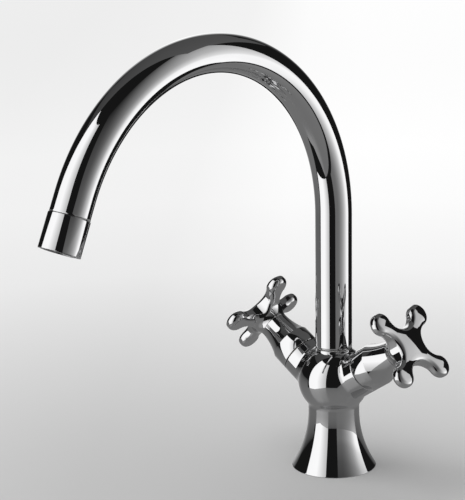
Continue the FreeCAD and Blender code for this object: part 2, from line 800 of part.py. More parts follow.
def make_cross_handle(name, side, turn):
    """A turned blank, dished in front and flared from the hub at the back, is trimmed to the
    cross outline and rounded all along its rim."""
    body = new_piece(name + "_cross_handle")
    hub = s.hub_dia / 2
    lobe = s.lobe_dia / 2
    blank = s.lobe_reach + s.lobe_dia
    seam = s.hub_seam + s.face_gap
    back = s.cross_plane - s.cross_thick / 2
    front = back + s.cross_thick
    root_out = hub + s.root_radius * (1 - cosine(s.root_sweep))
    root_up = seam + s.root_radius * sine(s.root_sweep)
    rest = as_size(90) - s.root_sweep
    back_radius = (back - root_up) / (1 - cosine(rest))
    back_out = root_out + back_radius * sine(rest)
    dish = s.dish_depth
    dish_radius = (s.dish_reach * s.dish_reach + dish * dish) / (dish * 4)
    turned(body, "blank", [
        (ZERO, seam), (hub, seam), (root_out, root_up), (back_out, back), (blank, back),
        (blank, front), (s.dish_reach, front), (s.dish_reach / 2, front - dish / 2),
        (ZERO, front - dish)],
        {1: (s.root_radius, -1), 2: (back_radius, -1), 6: (dish_radius, 1), 7: (dish_radius, -1)})
    trim = body.newObject("PartDesign::Pocket", "trim_to_cross")
    trim.Profile = cross_outline(body, turn, front, blank)
    bind(trim, "Length", front - seam)

    centre, hollow = hollow_sizes()
    step = 2 * math.pi / s.lobe_count.value

    def from_circle(point, distance, first_angle, radius):
        """How far a point is from the nearest of the equal circles that stand round the axis."""
        angle = math.atan2(point.y, point.x) - math.radians(turn.value) - first_angle
        angle -= step * round(angle / step)
        out = math.hypot(point.x, point.y)
        gap = math.hypot(out * math.cos(angle) - distance.value, out * math.sin(angle))
        return abs(gap - radius.value)

    def on_rim(point):
        return min(from_circle(point, s.lobe_reach, 0, lobe),
                   from_circle(point, centre, step / 2, hollow)) < 0.01

    dress(body, "Fillet", "rim_rounding", on_rim, "Radius", s.cross_rounding)
    cylinder(body, "spigot", False, spigot_radius, s.spigot_length + s.face_gap * 2,
             base=(ZERO, ZERO, s.hub_seam - s.spigot_length))
    set_on_arm(body, side)


# ---------------------------------------------------------------- spout

def make_spout_tube():
    body = new_piece("spout_tube")
    path = body.newObject("Sketcher::SketchObject", "path")
    attach(path, body, "YZ_Plane")
    bend = s.bend_radius
    arc_end = (bend * cosine(s.bend_sweep) - bend, s.spout_rise + bend * sine(s.bend_sweep))
    tail_end = (arc_end[0] - s.tail_length * sine(s.bend_sweep),
                arc_end[1] + s.tail_length * cosine(s.bend_sweep))
    low, top, turn, end = [Vector(across.value, up.value, 0) for across, up in (
        (ZERO, tube_low), (ZERO, s.spout_rise), arc_end, tail_end)]
    centre = Vector(-bend.value, s.spout_rise.value, 0)
    circle = Part.Circle(centre, Vector(0, 0, 1), bend.value)
    path.addGeometry(Part.LineSegment(low, top), False)
    path.addGeometry(Part.ArcOfCircle(circle, 0, math.radians(s.bend_sweep.value)), False)
    path.addGeometry(Part.LineSegment(turn, end), False)
    path.addConstraint(Sketcher.Constraint("Coincident", 0, 2, 1, 1))
    path.addConstraint(Sketcher.Constraint("Coincident", 1, 2, 2, 1))
    tied = [(0, 1, ZERO, tube_low), (0, 2, ZERO, s.spout_rise),
            (2, 1, arc_end[0], arc_end[1]), (2, 2, tail_end[0], tail_end[1])]
    for edge, end_number, across, up in tied:
        for kind, size in (("DistanceX", across), ("DistanceY", up)):
            index = path.addConstraint(Sketcher.Constraint(kind, -1, 1, edge, end_number, size.value))
            bind(path, "Constraints[%d]" % index, size)
    index = path.addConstraint(Sketcher.Constraint("Radius", 1, bend.value))
    bind(path, "Constraints[%d]" % index, bend)

    section = body.newObject("Sketcher::SketchObject", "section")
    attach(section, body, base=(ZERO, ZERO, tube_low))
    add_circle(section, tube_radius)
    add_circle(section, tube_inside)
    pipe = body.newObject("PartDesign::AdditivePipe", "bent_tube")
    pipe.Profile = section
    pipe.Spine = path


def make_spout_shank():
    """Brass shank brazed into the tube. It carries two sealing rings, lets the water in through
    its waist, and its lowest groove takes the lock screw."""
    body = new_piece("spout_shank")
    inside = s.shank_bore_dia / 2
    low = s.spout_bore_floor + s.shank_end_gap
    groove_half = s.o_ring_groove_width / 2
    lock_half = s.lock_groove_width / 2
    lock_bottom = shank_radius - s.lock_groove_depth
    spigot = tube_inside - s.thread_gap
    corners = [(inside, low), (shank_radius, low)]
    for height, half, bottom in ((s.lock_height, lock_half, lock_bottom),
                                 (None, None, lock_bottom),
                                 (s.lower_o_ring_height, groove_half, shank_groove_bottom),
                                 (s.upper_o_ring_height, groove_half, shank_groove_bottom)):
        below = height - half if height else s.shank_waist_low
        above = height + half if height else s.shank_waist_high
        corners += [(shank_radius, below), (bottom, below), (bottom, above), (shank_radius, above)]
    top = tube_low + s.shank_spigot
    corners += [(shank_radius, tube_low), (spigot, tube_low), (spigot, top), (inside, top)]
    turned(body, "turned_form", corners)
    port = cylinder(body, "port", True, s.shank_port_dia / 2, spout_bore,
                    **radial(ZERO, (s.shank_waist_low + s.shank_waist_high) / 2, ZERO))
    around(body, "ports", port, s.shank_ports)


def make_shank_seals():
    for place, height in (("lower", s.lower_o_ring_height), ("upper", s.upper_o_ring_height)):
        body = new_piece("shank_o_ring_" + place)
        o_ring(body, "ring", shank_groove_bottom, s.o_ring_section, height)
    body = new_piece("spout_glide_ring")
    outer = shank_radius + s.face_gap + s.glide_ring_width
    ring(body, "ring", shank_radius + s.face_gap, outer, s.collar_height + s.running_gap, tube_low)


def make_outlet_sleeve():
    body = new_piece("outlet_sleeve")
    outside = s.sleeve_dia / 2
    throat = s.sleeve_throat_dia / 2
    thread = s.sleeve_thread_dia / 2
    spigot = tube_inside - s.thread_gap
    edge = s.sleeve_edge
    turned(body, "turned_form", [
        (throat, -s.sleeve_spigot), (spigot, -s.sleeve_spigot), (spigot, ZERO),
        (outside - edge, ZERO), (outside, edge), (outside, s.sleeve_length - edge),
        (outside - edge, s.sleeve_length), (thread, s.sleeve_length), (thread, sleeve_thread_top),
        (throat, sleeve_thread_top)],
        {3: (edge, 1), 5: (edge, 1)})
    set_on_outlet(body)


def drilled_disc(body, radius, low, thick, hole_dia):
    """A flat disc with rings of six, twelve and so on holes round a middle one."""
    cylinder(body, "disc", False, radius, thick, base=(ZERO, ZERO, low))
    cylinder(body, "middle_hole", True, hole_dia / 2, thick, base=(ZERO, ZERO, low))
    for number in range(1, int(s.grid_hole_rings.value) + 1):
        hole = cylinder(body, "hole_%d" % number, True, hole_dia / 2, thick,
                        base=(s.grid_hole_pitch * number, ZERO, low))
        around(body, "hole_ring_%d" % number, hole, as_size(6 * number))


def make_aerator():
    housing_radius = s.sleeve_thread_dia / 2 - s.thread_gap
    inside = housing_radius - s.aerator_wall
    gasket_top = sleeve_thread_top + s.aerator_gasket_thick
    housing_end = s.sleeve_length - s.aerator_recess
    lip_top = housing_end - s.aerator_lip

    body = new_piece("aerator_gasket")
    ring(body, "ring", s.sleeve_throat_dia / 2, housing_radius, sleeve_thread_top, gasket_top)
    set_on_outlet(body)

    body = new_piece("aerator_housing")
    turned(body, "turned_form", [
        (inside, gasket_top), (housing_radius, gasket_top), (housing_radius, housing_end),
        (inside - s.aerator_lip_width, housing_end), (inside - s.aerator_lip_width, lip_top),
        (inside, lip_top)])
    notch = block(body, "key_notch", True, s.aerator_wall * 3, s.aerator_notch_width,
                  s.aerator_notch_depth, housing_end - s.aerator_notch_depth,
                  shift=(housing_radius - s.aerator_wall / 2, ZERO))
    around(body, "key_notches", notch, s.aerator_notches)
    set_on_outlet(body)

    body = new_piece("aerator_grid")
    drilled_disc(body, inside - s.face_gap, lip_top - s.grid_thick, s.grid_thick, s.grid_hole_dia)
    set_on_outlet(body)

    body = new_piece("aerator_mesh")
    mesh_low = lip_top - s.grid_thick - s.mesh_thick
    drilled_disc(body, inside - s.face_gap, mesh_low, s.mesh_thick, s.mesh_hole_dia)
    set_on_outlet(body)


# ---------------------------------------------------------------- the whole mixer

make_mixer_body()
make_base_gasket()
make_spout_lock_screw()
for side_name, side_sign, cross_turn, screw_angle in (
        ("hot", -1, s.hot_cross_turn, s.hot_screw_turn),
        ("cold", 1, s.cold_cross_turn, s.cold_screw_turn)):
    make_valve_bonnet(side_name, side_sign)
    make_bonnet_seal(side_name, side_sign)
    make_seat_seal(side_name, side_sign)
    make_disc(side_name + "_fixed_disc", side_sign, seal_top, 0, False)
    make_disc(side_name + "_moving_disc", side_sign, moving_low, 90, True)
    make_valve_spindle(side_name, side_sign)
    make_spindle_o_ring(side_name, side_sign)
    make_spindle_circlip(side_name, side_sign)
    make_drive_adaptor(side_name, side_sign)
    make_handle_skirt(side_name, side_sign, screw_angle)
    make_handle_screw(side_name, side_sign, screw_angle)
    make_cross_handle(side_name, side_sign, cross_turn)
make_spout_tube()
make_spout_shank()
make_shank_seals()
make_outlet_sleeve()
make_aerator()
doc.recompute()

problems = []
for thing in doc.Objects:
    if "Invalid" in thing.State or "Error" in thing.State:
        problems.append("%s: %s" % (thing.Label, thing.State))
for piece in pieces:
    if piece.Shape.isNull() or not piece.Shape.isValid():
        problems.append(piece.Label + ": no valid shape")
    elif len(piece.Shape.Solids) != 1:
        problems.append("%s: %d solids" % (piece.Label, len(piece.Shape.Solids)))
if problems:
    raise RuntimeError("; ".join(problems))

os.makedirs("parts", exist_ok=True)
for piece in pieces:
    piece.Shape.exportStep("parts/%s.step" % piece.Label)
    print("%-24s %10.1f mm3" % (piece.Label, piece.Shape.Volume))
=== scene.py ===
import math

import bpy
import bmesh
import numpy as np
from mathutils import Matrix, Vector


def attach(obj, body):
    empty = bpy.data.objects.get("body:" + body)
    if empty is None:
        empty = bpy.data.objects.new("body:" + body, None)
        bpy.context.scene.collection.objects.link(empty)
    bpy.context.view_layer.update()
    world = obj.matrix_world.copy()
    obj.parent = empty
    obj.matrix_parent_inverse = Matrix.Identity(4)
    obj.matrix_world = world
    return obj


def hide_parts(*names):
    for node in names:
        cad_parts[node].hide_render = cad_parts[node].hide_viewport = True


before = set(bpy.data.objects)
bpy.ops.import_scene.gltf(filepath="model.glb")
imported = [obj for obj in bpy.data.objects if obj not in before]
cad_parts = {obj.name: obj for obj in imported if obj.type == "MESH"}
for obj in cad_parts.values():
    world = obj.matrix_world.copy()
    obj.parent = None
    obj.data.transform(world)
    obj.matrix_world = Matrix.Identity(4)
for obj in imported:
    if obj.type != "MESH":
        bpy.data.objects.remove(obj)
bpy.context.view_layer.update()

MM = 0.001

# ---------------------------------------------------------------- sizes of the mixer, in mm

TUBE_DIA = 25.0
TUBE_WALL = 1.2
TUBE_LOW = 85.5
SPOUT_RISE = 178.0
BEND_RADIUS = 121.4
BEND_SWEEP = 155.5
TAIL_LENGTH = 12.1

SLEEVE_DIA = 26.0
SLEEVE_LENGTH = 22.0
SLEEVE_EDGE = 0.4
SLEEVE_WALL = 1.9

FOOT_RADIUS = 29.0
FOOT_EDGE = 0.5
NECK_RADIUS = 17.5
NECK_HEIGHT = 39.8
BALL_RADIUS = 24.4
BALL_HEIGHT = 62.0
BALL_NECK_FILLET = 1.2
COLLAR_RADIUS = 12.6
COLLAR_HEIGHT = 84.8
COLLAR_FILLET = 0.8

ARM_RADIUS = 14.7
ARM_CROSSING = 54.55
ARM_ELEVATION = 33.5
ARM_FACE = 35.0
ARM_FILLET = 2.6
ARM_EDGE = 0.4

SKIRT_LOW = 35.4
SKIRT_SHOULDER = 46.8
SKIRT_WALL = 1.5
SKIRT_DROP = 1.2
HUB_RADIUS = 10.2
HUB_BORE = 5.1
HUB_LAND = 0.5
HUB_SEAM = 65.0
FLARE_ANGLE = 25.0

SEAM_GAP = 0.02
SEAM_EDGE = 0.3

CROSS_PLANE = 78.8
CROSS_HALF = 4.0
CROSS_ROUNDING = 3.6
CROSS_CROWN = 0.7
ROOT_RADIUS = 7.5
ROOT_SWEEP = 72.0
FRONT_WAVE = 0.5
LOBE_RADIUS = 7.6
LOBE_REACH = 26.3
LOBES = 4
WAIST_HALF = 5.2

GRUB_RADIUS = 1.65
GRUB_PLACE = 50.8
GRUB_FLOOR = 7.0
LOCK_RADIUS = 2.5
LOCK_HEIGHT = 64.1
LOCK_DEPTH = 5.0
LOCK_EDGE = 0.2
GASKET_RADIUS = 24.0
GASKET_HALF = 1.5
GASKET_DEPTH = 2.2
INLET_PLACE = 9.0
INLET_RADIUS = 4.5
STUD_PLACE = 10.0
STUD_RADIUS = 3.4
THREAD_DEPTH = 15.0

# how finely the body and the cross are meshed
BODY_STEP = 0.58
CROSS_STEP = 0.34

# the camera of the photograph: place in mm, then angles in degrees
CAMERA_PLACE = (800.18, -949.22, 455.79)
CAMERA_HEADING = 43.283
CAMERA_PITCH = 13.678
CAMERA_ROLL = -0.898
FOCAL_PIXELS = 1886.4
IMAGE_HEIGHT = 500
SENSOR = 36.0

# the studio that the chrome reflects, in mm, and how bright it is
SIDE_DISTANCE = 700
RIGHT_DISTANCE = 1400
BACK_DISTANCE = 900
CEILING_HEIGHT = 1500.0
CEILING_HALF = 1500.0
CEILING_DEPTH = 2800.0
FLOOR_HALF = 14000.0
PANEL_STRENGTH = 1.45
# strength of the table's painted glow, which stands in for the lit table
TABLE_PAINTED_GLOW = 0.245
FLOOR_PAINT = 0.45
AIR = 0.62
REFLECTED_AIR = 0.011
SEEN_AIR = 0.97


# ---------------------------------------------------------------- nodes and materials

class Shader:
    """A material's node tree, with short ways to add and join its nodes."""

    def __init__(self, name):
        self.material = bpy.data.materials.new(name)
        self.material.use_nodes = True
        self.tree = self.material.node_tree
        self.surface = self.tree.nodes["Principled BSDF"]
        self.output = self.tree.nodes["Material Output"]

    def add(self, kind, **settings):
        node = self.tree.nodes.new(kind)
        for key, value in settings.items():
            if key in node.inputs:
                node.inputs[key].default_value = value
            else:
                setattr(node, key, value)
        return node

    def join(self, source, target):
        self.tree.links.new(source, target)

    def noise(self, scale, detail=3.0, roughness=0.5):
        place = self.add("ShaderNodeTexCoord")
        node = self.add("ShaderNodeTexNoise")
        node.inputs["Scale"].default_value = scale
        node.inputs["Detail"].default_value = detail
        node.inputs["Roughness"].default_value = roughness
        self.join(place.outputs["Object"], node.inputs["Vector"])
        return node.outputs["Fac"]

    def spread(self, value, low, high, from_low=0.35, from_high=0.65):
        node = self.add("ShaderNodeMapRange")
        for key, number in (("From Min", from_low), ("From Max", from_high),
                            ("To Min", low), ("To Max", high)):
            node.inputs[key].default_value = number
        self.join(value, node.inputs["Value"])
        return node.outputs["Result"]

    def shades(self, value, *stops):
        node = self.add("ShaderNodeValToRGB")
        ramp = node.color_ramp
        while len(ramp.elements) < len(stops):
            ramp.elements.new(0.5)
        for element, (at, colour) in zip(ramp.elements, stops):
            element.position = at
            element.color = (*colour, 1.0)
        self.join(value, node.inputs["Fac"])
        return node.outputs["Color"]

    def bump(self, height, distance, strength=1.0):
        node = self.add("ShaderNodeBump")
        node.inputs["Strength"].default_value = strength
        node.inputs["Distance"].default_value = distance
        self.join(height, node.inputs["Height"])
        self.join(node.outputs["Normal"], self.surface.inputs["Normal"])


def plated_finish(name, shade, smooth, hazy, ripple):
    """Bright metal: smudges in its gloss, a breath of colour variation and a slight ripple."""
    tint_scale, smudge_scale, ripple_scale = 60.0, 90.0, 45.0
    look = Shader(name)
    look.surface.inputs["Metallic"].default_value = 1.0
    dark = tuple(c * 0.985 for c in shade)
    look.join(look.shades(look.noise(tint_scale), (0.35, dark), (0.65, shade)),
              look.surface.inputs["Base Color"])
    look.join(look.spread(look.noise(smudge_scale, detail=5.0), smooth, hazy),
              look.surface.inputs["Roughness"])
    look.bump(look.noise(ripple_scale, detail=1.0), ripple)
    return look.material


def turned_metal(name, shade, gloss):
    """Machined metal, with the fine lines of the turning tool."""
    line_scale, tint_scale, smudge_scale, line_depth = 900.0, 220.0, 300.0, 0.00001
    look = Shader(name)
    look.surface.inputs["Metallic"].default_value = 1.0
    place = look.add("ShaderNodeTexCoord")
    lines = look.add("ShaderNodeTexWave")
    lines.inputs["Scale"].default_value = line_scale
    lines.inputs["Distortion"].default_value = 0.6
    look.join(place.outputs["Object"], lines.inputs["Vector"])
    dark = tuple(c * 0.82 for c in shade)
    look.join(look.shades(look.noise(tint_scale), (0.3, dark), (0.7, shade)),
              look.surface.inputs["Base Color"])
    look.join(look.spread(look.noise(smudge_scale), gloss, gloss + 0.12),
              look.surface.inputs["Roughness"])
    look.bump(lines.outputs["Fac"], line_depth)
    return look.material


def moulded_finish(name, shade, gloss, grain, depth):
    """Rubber, plastic or fired ceramic: a fine grain in colour, gloss and height."""
    look = Shader(name)
    dark = tuple(c * 0.86 for c in shade)
    look.join(look.shades(look.noise(grain), (0.3, dark), (0.7, shade)),
              look.surface.inputs["Base Color"])
    look.join(look.spread(look.noise(grain * 1.7), gloss, gloss + 0.15),
              look.surface.inputs["Roughness"])
    look.bump(look.noise(grain * 3.0), depth)
    return look.material


CHROME = plated_finish("bright_chrome_plate", (0.68, 0.68, 0.685), 0.012, 0.03, 0.000004)
STEEL = plated_finish("stainless_steel", (0.46, 0.45, 0.43), 0.16, 0.28, 0.00001)
BRASS = turned_metal("machined_brass", (0.68, 0.49, 0.2), 0.2)
CERAMIC = moulded_finish("fired_alumina", (0.85, 0.83, 0.78), 0.12, 900.0, 0.000002)
RUBBER = moulded_finish("black_nitrile_rubber", (0.016, 0.016, 0.017), 0.5, 700.0, 0.00002)
PLASTIC = moulded_finish("grey_acetal", (0.55, 0.55, 0.54), 0.3, 500.0, 0.00001)


# ---------------------------------------------------------------- meshes

# the points of the skirt's outline that lie on its outside
SKIRT_OUTSIDE = slice(2, -4)


def put(name, points, faces, material, corner_normals=None, point_normals=None):
    """A mesh piece from points in mm, with its exact normals where they are known."""
    mesh = bpy.data.meshes.new(name)
    mesh.from_pydata([tuple(p) for p in np.asarray(points) * MM], [],
                     [tuple(int(i) for i in f) for f in faces])
    mesh.shade_smooth()
    if corner_normals is not None:
        mesh.normals_split_custom_set([tuple(n) for n in corner_normals])
    if point_normals is not None:
        mesh.normals_split_custom_set_from_vertices([tuple(n) for n in point_normals])
    mesh.materials.append(material)
    piece = bpy.data.objects.new(name, mesh)
    bpy.context.scene.collection.objects.link(piece)
    return piece


def arc(start, end, radius, turn, steps):
    """Points after start up to end on an arc; turn is 1 anticlockwise and -1 clockwise."""
    a, b = np.array(start, float), np.array(end, float)
    chord = b - a
    half = np.linalg.norm(chord) / 2
    rise = math.sqrt(max(radius * radius - half * half, 0.0))
    across = np.array([-chord[1], chord[0]]) / (2 * half)
    centre = (a + b) / 2 + across * rise * turn
    first = math.atan2(*(a - centre)[::-1])
    last = math.atan2(*(b - centre)[::-1])
    sweep = (last - first) * turn % (2 * math.pi) * turn
    angles = first + sweep * np.arange(1, steps + 1) / steps
    return [tuple(centre + radius * np.array([math.cos(t), math.sin(t)])) for t in angles]


def turned(name, profile, frame_at, material, around=128, crease=32.0, hole=None):
    """A closed profile of (radius, height) turned about an axis; frame_at places it. A hole is
    given by its height and angle on the outside, its radius, and how far in it ends."""
    outline = np.array(profile, float)
    count = len(outline)
    angle = np.linspace(0, 2 * np.pi, around, endpoint=False)
    step = np.roll(outline, -1, 0) - outline
    length = np.maximum(np.linalg.norm(step, axis=1), 1e-9)
    facing = np.stack([step[:, 1], -step[:, 0]], -1) / length[:, None]
    soft = math.cos(math.radians(crease))

    def corner(edge, neighbour):
        if facing[edge] @ facing[neighbour] < soft:
            return facing[edge]
        mean = facing[edge] + facing[neighbour]
        return mean / np.linalg.norm(mean)

    def spun(pair, t):
        return np.array([pair[0] * math.cos(t), pair[0] * math.sin(t), pair[1]])

    axes = np.array(frame_at.to_3x3())
    origin = np.array(frame_at.translation)
    points, faces, normals = [], [], []
    for t in angle:
        points.extend(origin + axes @ spun(p, t) for p in outline)
    removed = hole_patch(outline, angle, hole) if hole else set()
    for k in range(around):
        here, there = k * count, (k + 1) % around * count
        ta, tb = angle[k], angle[(k + 1) % around]
        for i in range(count):
            j = (i + 1) % count
            if (k, i) in removed or outline[i][0] < 1e-6 and outline[j][0] < 1e-6:
                continue
            first = corner(i, (i - 1) % count)
            second = corner(i, j)
            faces.append((here + i, there + i, there + j, here + j))
            for pair, t in ((first, ta), (first, tb), (second, tb), (second, ta)):
                normals.append(axes @ spun(pair, t))
    if hole:
        drill(outline, angle, hole, removed, axes, origin, points, faces, normals)
    return put(name, points, faces, material, corner_normals=normals)


def hole_patch(outline, angle, hole):
    """The block of quads round a hole that its rim replaces."""
    height, at, radius, depth = hole
    margin = radius * 1.5
    rows = [i for i in range(2, len(outline) - 1)
            if outline[i][1] < outline[i + 1][1] and outline[i + 1][1] > height - margin
            and outline[i][1] < height + margin and outline[i][0] > depth]
    outside = outline[SKIRT_OUTSIDE]
    out = np.interp(height, outside[:, 1], outside[:, 0])
    middle = round(at / (angle[1] - angle[0]))
    half = math.ceil(margin / out / (angle[1] - angle[0]))
    return {((middle + k) % len(angle), i) for k in range(-half, half) for i in rows}


def patch_edge(removed, around):
    """The corners (angle number, outline number) round the open block, in order."""
    columns = sorted({k for k, i in removed})
    if columns[-1] - columns[0] > around / 2:
        columns = sorted(columns, key=lambda k: (k + around // 2) % around)
    rows = sorted({i for k, i in removed})
    columns.append((columns[-1] + 1) % around)
    rows.append(rows[-1] + 1)
    loop = [(k, rows[0]) for k in columns[:-1]] + [(columns[-1], i) for i in rows[:-1]]
    return loop + [(k, rows[-1]) for k in columns[:0:-1]] + [(columns[0], i) for i in rows[:0:-1]]


def drill(outline, angle, hole, removed, axes, origin, points, faces, normals):
    """Joins the open block's edge to a round rim on the surface, and lines the hole."""
    height, at, radius, depth = hole
    count = len(outline)
    loop = patch_edge(removed, len(angle))
    outside = outline[SKIRT_OUTSIDE]
    slopes = np.gradient(outside[:, 0], outside[:, 1])

    def on_skirt(turn, level):
        out = np.interp(level, outside[:, 1], outside[:, 0])
        slope = np.interp(level, outside[:, 1], slopes)
        size = math.hypot(1.0, slope)
        normal = np.array([math.cos(turn) / size, math.sin(turn) / size, -slope / size])
        return np.array([out * math.cos(turn), out * math.sin(turn), level]), axes @ normal

    centre_out = np.interp(height, outside[:, 1], outside[:, 0])
    ways = []
    for k, i in loop:
        turn = (angle[k] - at + math.pi) % (2 * math.pi) - math.pi
        ways.append(math.atan2(outline[i][1] - height, turn * centre_out))
    axis = np.array([math.cos(at), math.sin(at), 0.0])
    side = np.array([-math.sin(at), math.cos(at), 0.0])
    first_rim, first_floor = len(points), len(points) + len(loop)
    rim_normals, wall_normals, floor = [], [], []
    for way in ways:
        turn = at + radius * math.cos(way) / centre_out
        place, normal = on_skirt(turn, height + radius * math.sin(way))
        points.append(origin + axes @ place)
        rim_normals.append(normal)
        wall_normals.append(axes @ (-side * math.cos(way) - np.array([0, 0, math.sin(way)])))
        place = axis * depth + side * radius * math.cos(way) + np.array([0, 0, height])
        floor.append(origin + axes @ (place + np.array([0, 0, radius * math.sin(way)])))
    points.extend(floor)
    total = len(loop)
    for n in range(total):
        m = (n + 1) % total
        (ka, ia), (kb, ib) = loop[n], loop[m]
        faces.append((ka * count + ia, kb * count + ib, first_rim + m, first_rim + n))
        normals += [on_skirt(angle[ka], outline[ia][1])[1], on_skirt(angle[kb], outline[ib][1])[1],
                    rim_normals[m], rim_normals[n]]
        faces.append((first_rim + n, first_rim + m, first_floor + m, first_floor + n))
        normals += [wall_normals[n], wall_normals[m], wall_normals[m], wall_normals[n]]
    faces.append(tuple(first_floor + n for n in range(total)))
    normals += [axes @ axis] * total


def surface_of(form, low, high, step):
    """Points and quads of the closed surface on which form is nought, pulled exactly onto it."""
    axes = [np.arange(a, b + step, step) for a, b in zip(low, high)]
    shape = tuple(len(a) for a in axes)
    grid = np.stack(np.meshgrid(*axes, indexing="ij"), -1).reshape(-1, 3)
    value = form(grid).reshape(shape)
    inside = value < 0
    cells = tuple(n - 1 for n in shape)
    total = np.zeros(cells + (3,))
    number = np.zeros(cells)
    for axis in range(3):
        near = [slice(None)] * 3
        far = [slice(None)] * 3
        near[axis], far[axis] = slice(None, -1), slice(1, None)
        a, b = value[tuple(near)], value[tuple(far)]
        cut = (a < 0) != (b < 0)
        share = np.where(cut, a / np.where(cut, a - b, 1), 0)
        others = [k for k in range(3) if k != axis]
        for first in (0, 1):
            for second in (0, 1):
                pick = [slice(None)] * 3
                pick[others[0]] = slice(first, first + cells[others[0]])
                pick[others[1]] = slice(second, second + cells[others[1]])
                c, s = cut[tuple(pick)], share[tuple(pick)]
                offset = np.zeros(cells + (3,))
                offset[..., axis] = s
                offset[..., others[0]] = first
                offset[..., others[1]] = second
                total += np.where(c[..., None], offset, 0)
                number += c
    used = number > 0
    index = np.full(cells, -1)
    index[used] = np.arange(used.sum())
    where = np.stack(np.nonzero(used), -1)
    points = np.array(low) + (where + total[used] / number[used][:, None]) * step
    quads = []
    for axis in range(3):
        others = [k for k in range(3) if k != axis]
        near = [slice(1, -1)] * 3
        far = [slice(1, -1)] * 3
        near[axis], far[axis] = slice(None, -1), slice(1, None)
        a, b = inside[tuple(near)], inside[tuple(far)]
        for leaving in (True, False):
            at = np.stack(np.nonzero(a & ~b if leaving else ~a & b), -1)
            at[:, others[0]] += 1
            at[:, others[1]] += 1
            ring = []
            for first, second in ((0, 0), (1, 0), (1, 1), (0, 1)):
                place = at.copy()
                place[:, others[0]] -= 1 - first
                place[:, others[1]] -= 1 - second
                ring.append(index[place[:, 0], place[:, 1], place[:, 2]])
            forward = leaving == (axis != 1)
            quads.append(np.stack(ring if forward else ring[::-1], -1))
    quads = np.concatenate(quads)
    for _ in range(3):
        mean = np.zeros_like(points)
        seen = np.zeros(len(points))
        for k in range(4):
            np.add.at(mean, quads[:, k], points[quads[:, (k + 1) % 4]] + points[quads[:, k - 1]])
            np.add.at(seen, quads[:, k], 2)
        points = points * 0.5 + mean / seen[:, None] * 0.5
        points = settle(form, points, step)
    return points, quads


def slope_of(form, points, reach=0.01):
    """Unit outward direction of the form at each point."""
    slope = np.zeros_like(points)
    for axis in range(3):
        shift = np.zeros(3)
        shift[axis] = reach
        slope[:, axis] = form(points + shift) - form(points - shift)
    return slope / np.maximum(np.linalg.norm(slope, axis=1), 1e-12)[:, None]


def settle(form, points, step):
    """Moves points onto the form's surface, never more than half a step at a time."""
    for _ in range(3):
        away = np.clip(form(points), -step / 2, step / 2)
        points = points - slope_of(form, points) * away[:, None]
    return points


def rounded_join(a, b, radius):
    """Union of two distances with a fillet of that radius."""
    gap_a, gap_b = np.maximum(radius - a, 0), np.maximum(radius - b, 0)
    return np.maximum(radius, np.minimum(a, b)) - np.hypot(gap_a, gap_b)


def rounded_cut(a, b, radius):
    """Intersection of two distances with a rounded edge of that radius."""
    over_a, over_b = np.maximum(radius + a, 0), np.maximum(radius + b, 0)
    return np.minimum(-radius, np.maximum(a, b)) + np.hypot(over_a, over_b)


def arm_axis(side):
    """Direction of the arm; side is -1 for hot and 1 for cold."""
    tilt = math.radians(ARM_ELEVATION)
    return np.array([side * math.cos(tilt), 0.0, math.sin(tilt)])


def arm_frame(side):
    """Z along the arm from the crossing point of the two arms, Y across the mixer."""
    z = Vector(arm_axis(side))
    y = Vector((0.0, 1.0, 0.0))
    x = y.cross(z)
    place = Matrix((x, y, z)).transposed().to_4x4()
    place.translation = Vector((0.0, 0.0, ARM_CROSSING))
    return place


# ---------------------------------------------------------------- body, foot and arms

def body_form(p):
    """Foot, neck, ball, collar and arms, less the openings in the underside and the back."""
    radial = np.hypot(p[:, 0], p[:, 1])
    height = p[:, 2]
    ball = np.sqrt(radial ** 2 + (height - BALL_HEIGHT) ** 2) - BALL_RADIUS
    inward, upward = FOOT_RADIUS - NECK_RADIUS, NECK_HEIGHT - FOOT_EDGE
    flare = (inward ** 2 + upward ** 2) / (2 * inward)
    below = np.minimum(height - NECK_HEIGHT, 0)
    stem = flare - np.hypot(np.maximum(NECK_RADIUS + flare - radial, 0), below)
    stem = rounded_cut(stem, height - BALL_HEIGHT, FOOT_EDGE)
    solid = rounded_join(ball, stem, BALL_NECK_FILLET)
    collar = rounded_cut(radial - COLLAR_RADIUS, height - COLLAR_HEIGHT, FOOT_EDGE)
    collar = np.maximum(collar, BALL_HEIGHT - height)
    solid = rounded_join(solid, collar, COLLAR_FILLET)
    for side in (-1, 1):
        axis = arm_axis(side)
        from_crossing = p - np.array([0, 0, ARM_CROSSING])
        along = from_crossing @ axis
        across = np.linalg.norm(from_crossing - along[:, None] * axis, axis=1)
        arm = rounded_cut(across - ARM_RADIUS, along - ARM_FACE, ARM_EDGE)
        arm = np.maximum(arm, -along)
        solid = rounded_join(solid, arm, ARM_FILLET)
    solid = rounded_cut(solid, -height, FOOT_EDGE)
    groove = np.maximum(np.abs(radial - GASKET_RADIUS) - GASKET_HALF, height - GASKET_DEPTH)
    solid = np.maximum(solid, -groove)
    for x, y, radius in ((-INLET_PLACE, 0, INLET_RADIUS), (INLET_PLACE, 0, INLET_RADIUS),
                         (0, -STUD_PLACE, STUD_RADIUS), (0, STUD_PLACE, STUD_RADIUS)):
        hole = np.hypot(p[:, 0] - x, p[:, 1] - y) - radius
        solid = np.maximum(solid, -np.maximum(hole, height - THREAD_DEPTH))
    lock = np.hypot(p[:, 0], height - LOCK_HEIGHT) - LOCK_RADIUS
    lock = np.maximum(lock, BALL_RADIUS - LOCK_DEPTH - p[:, 1])
    return rounded_cut(solid, -lock, LOCK_EDGE)


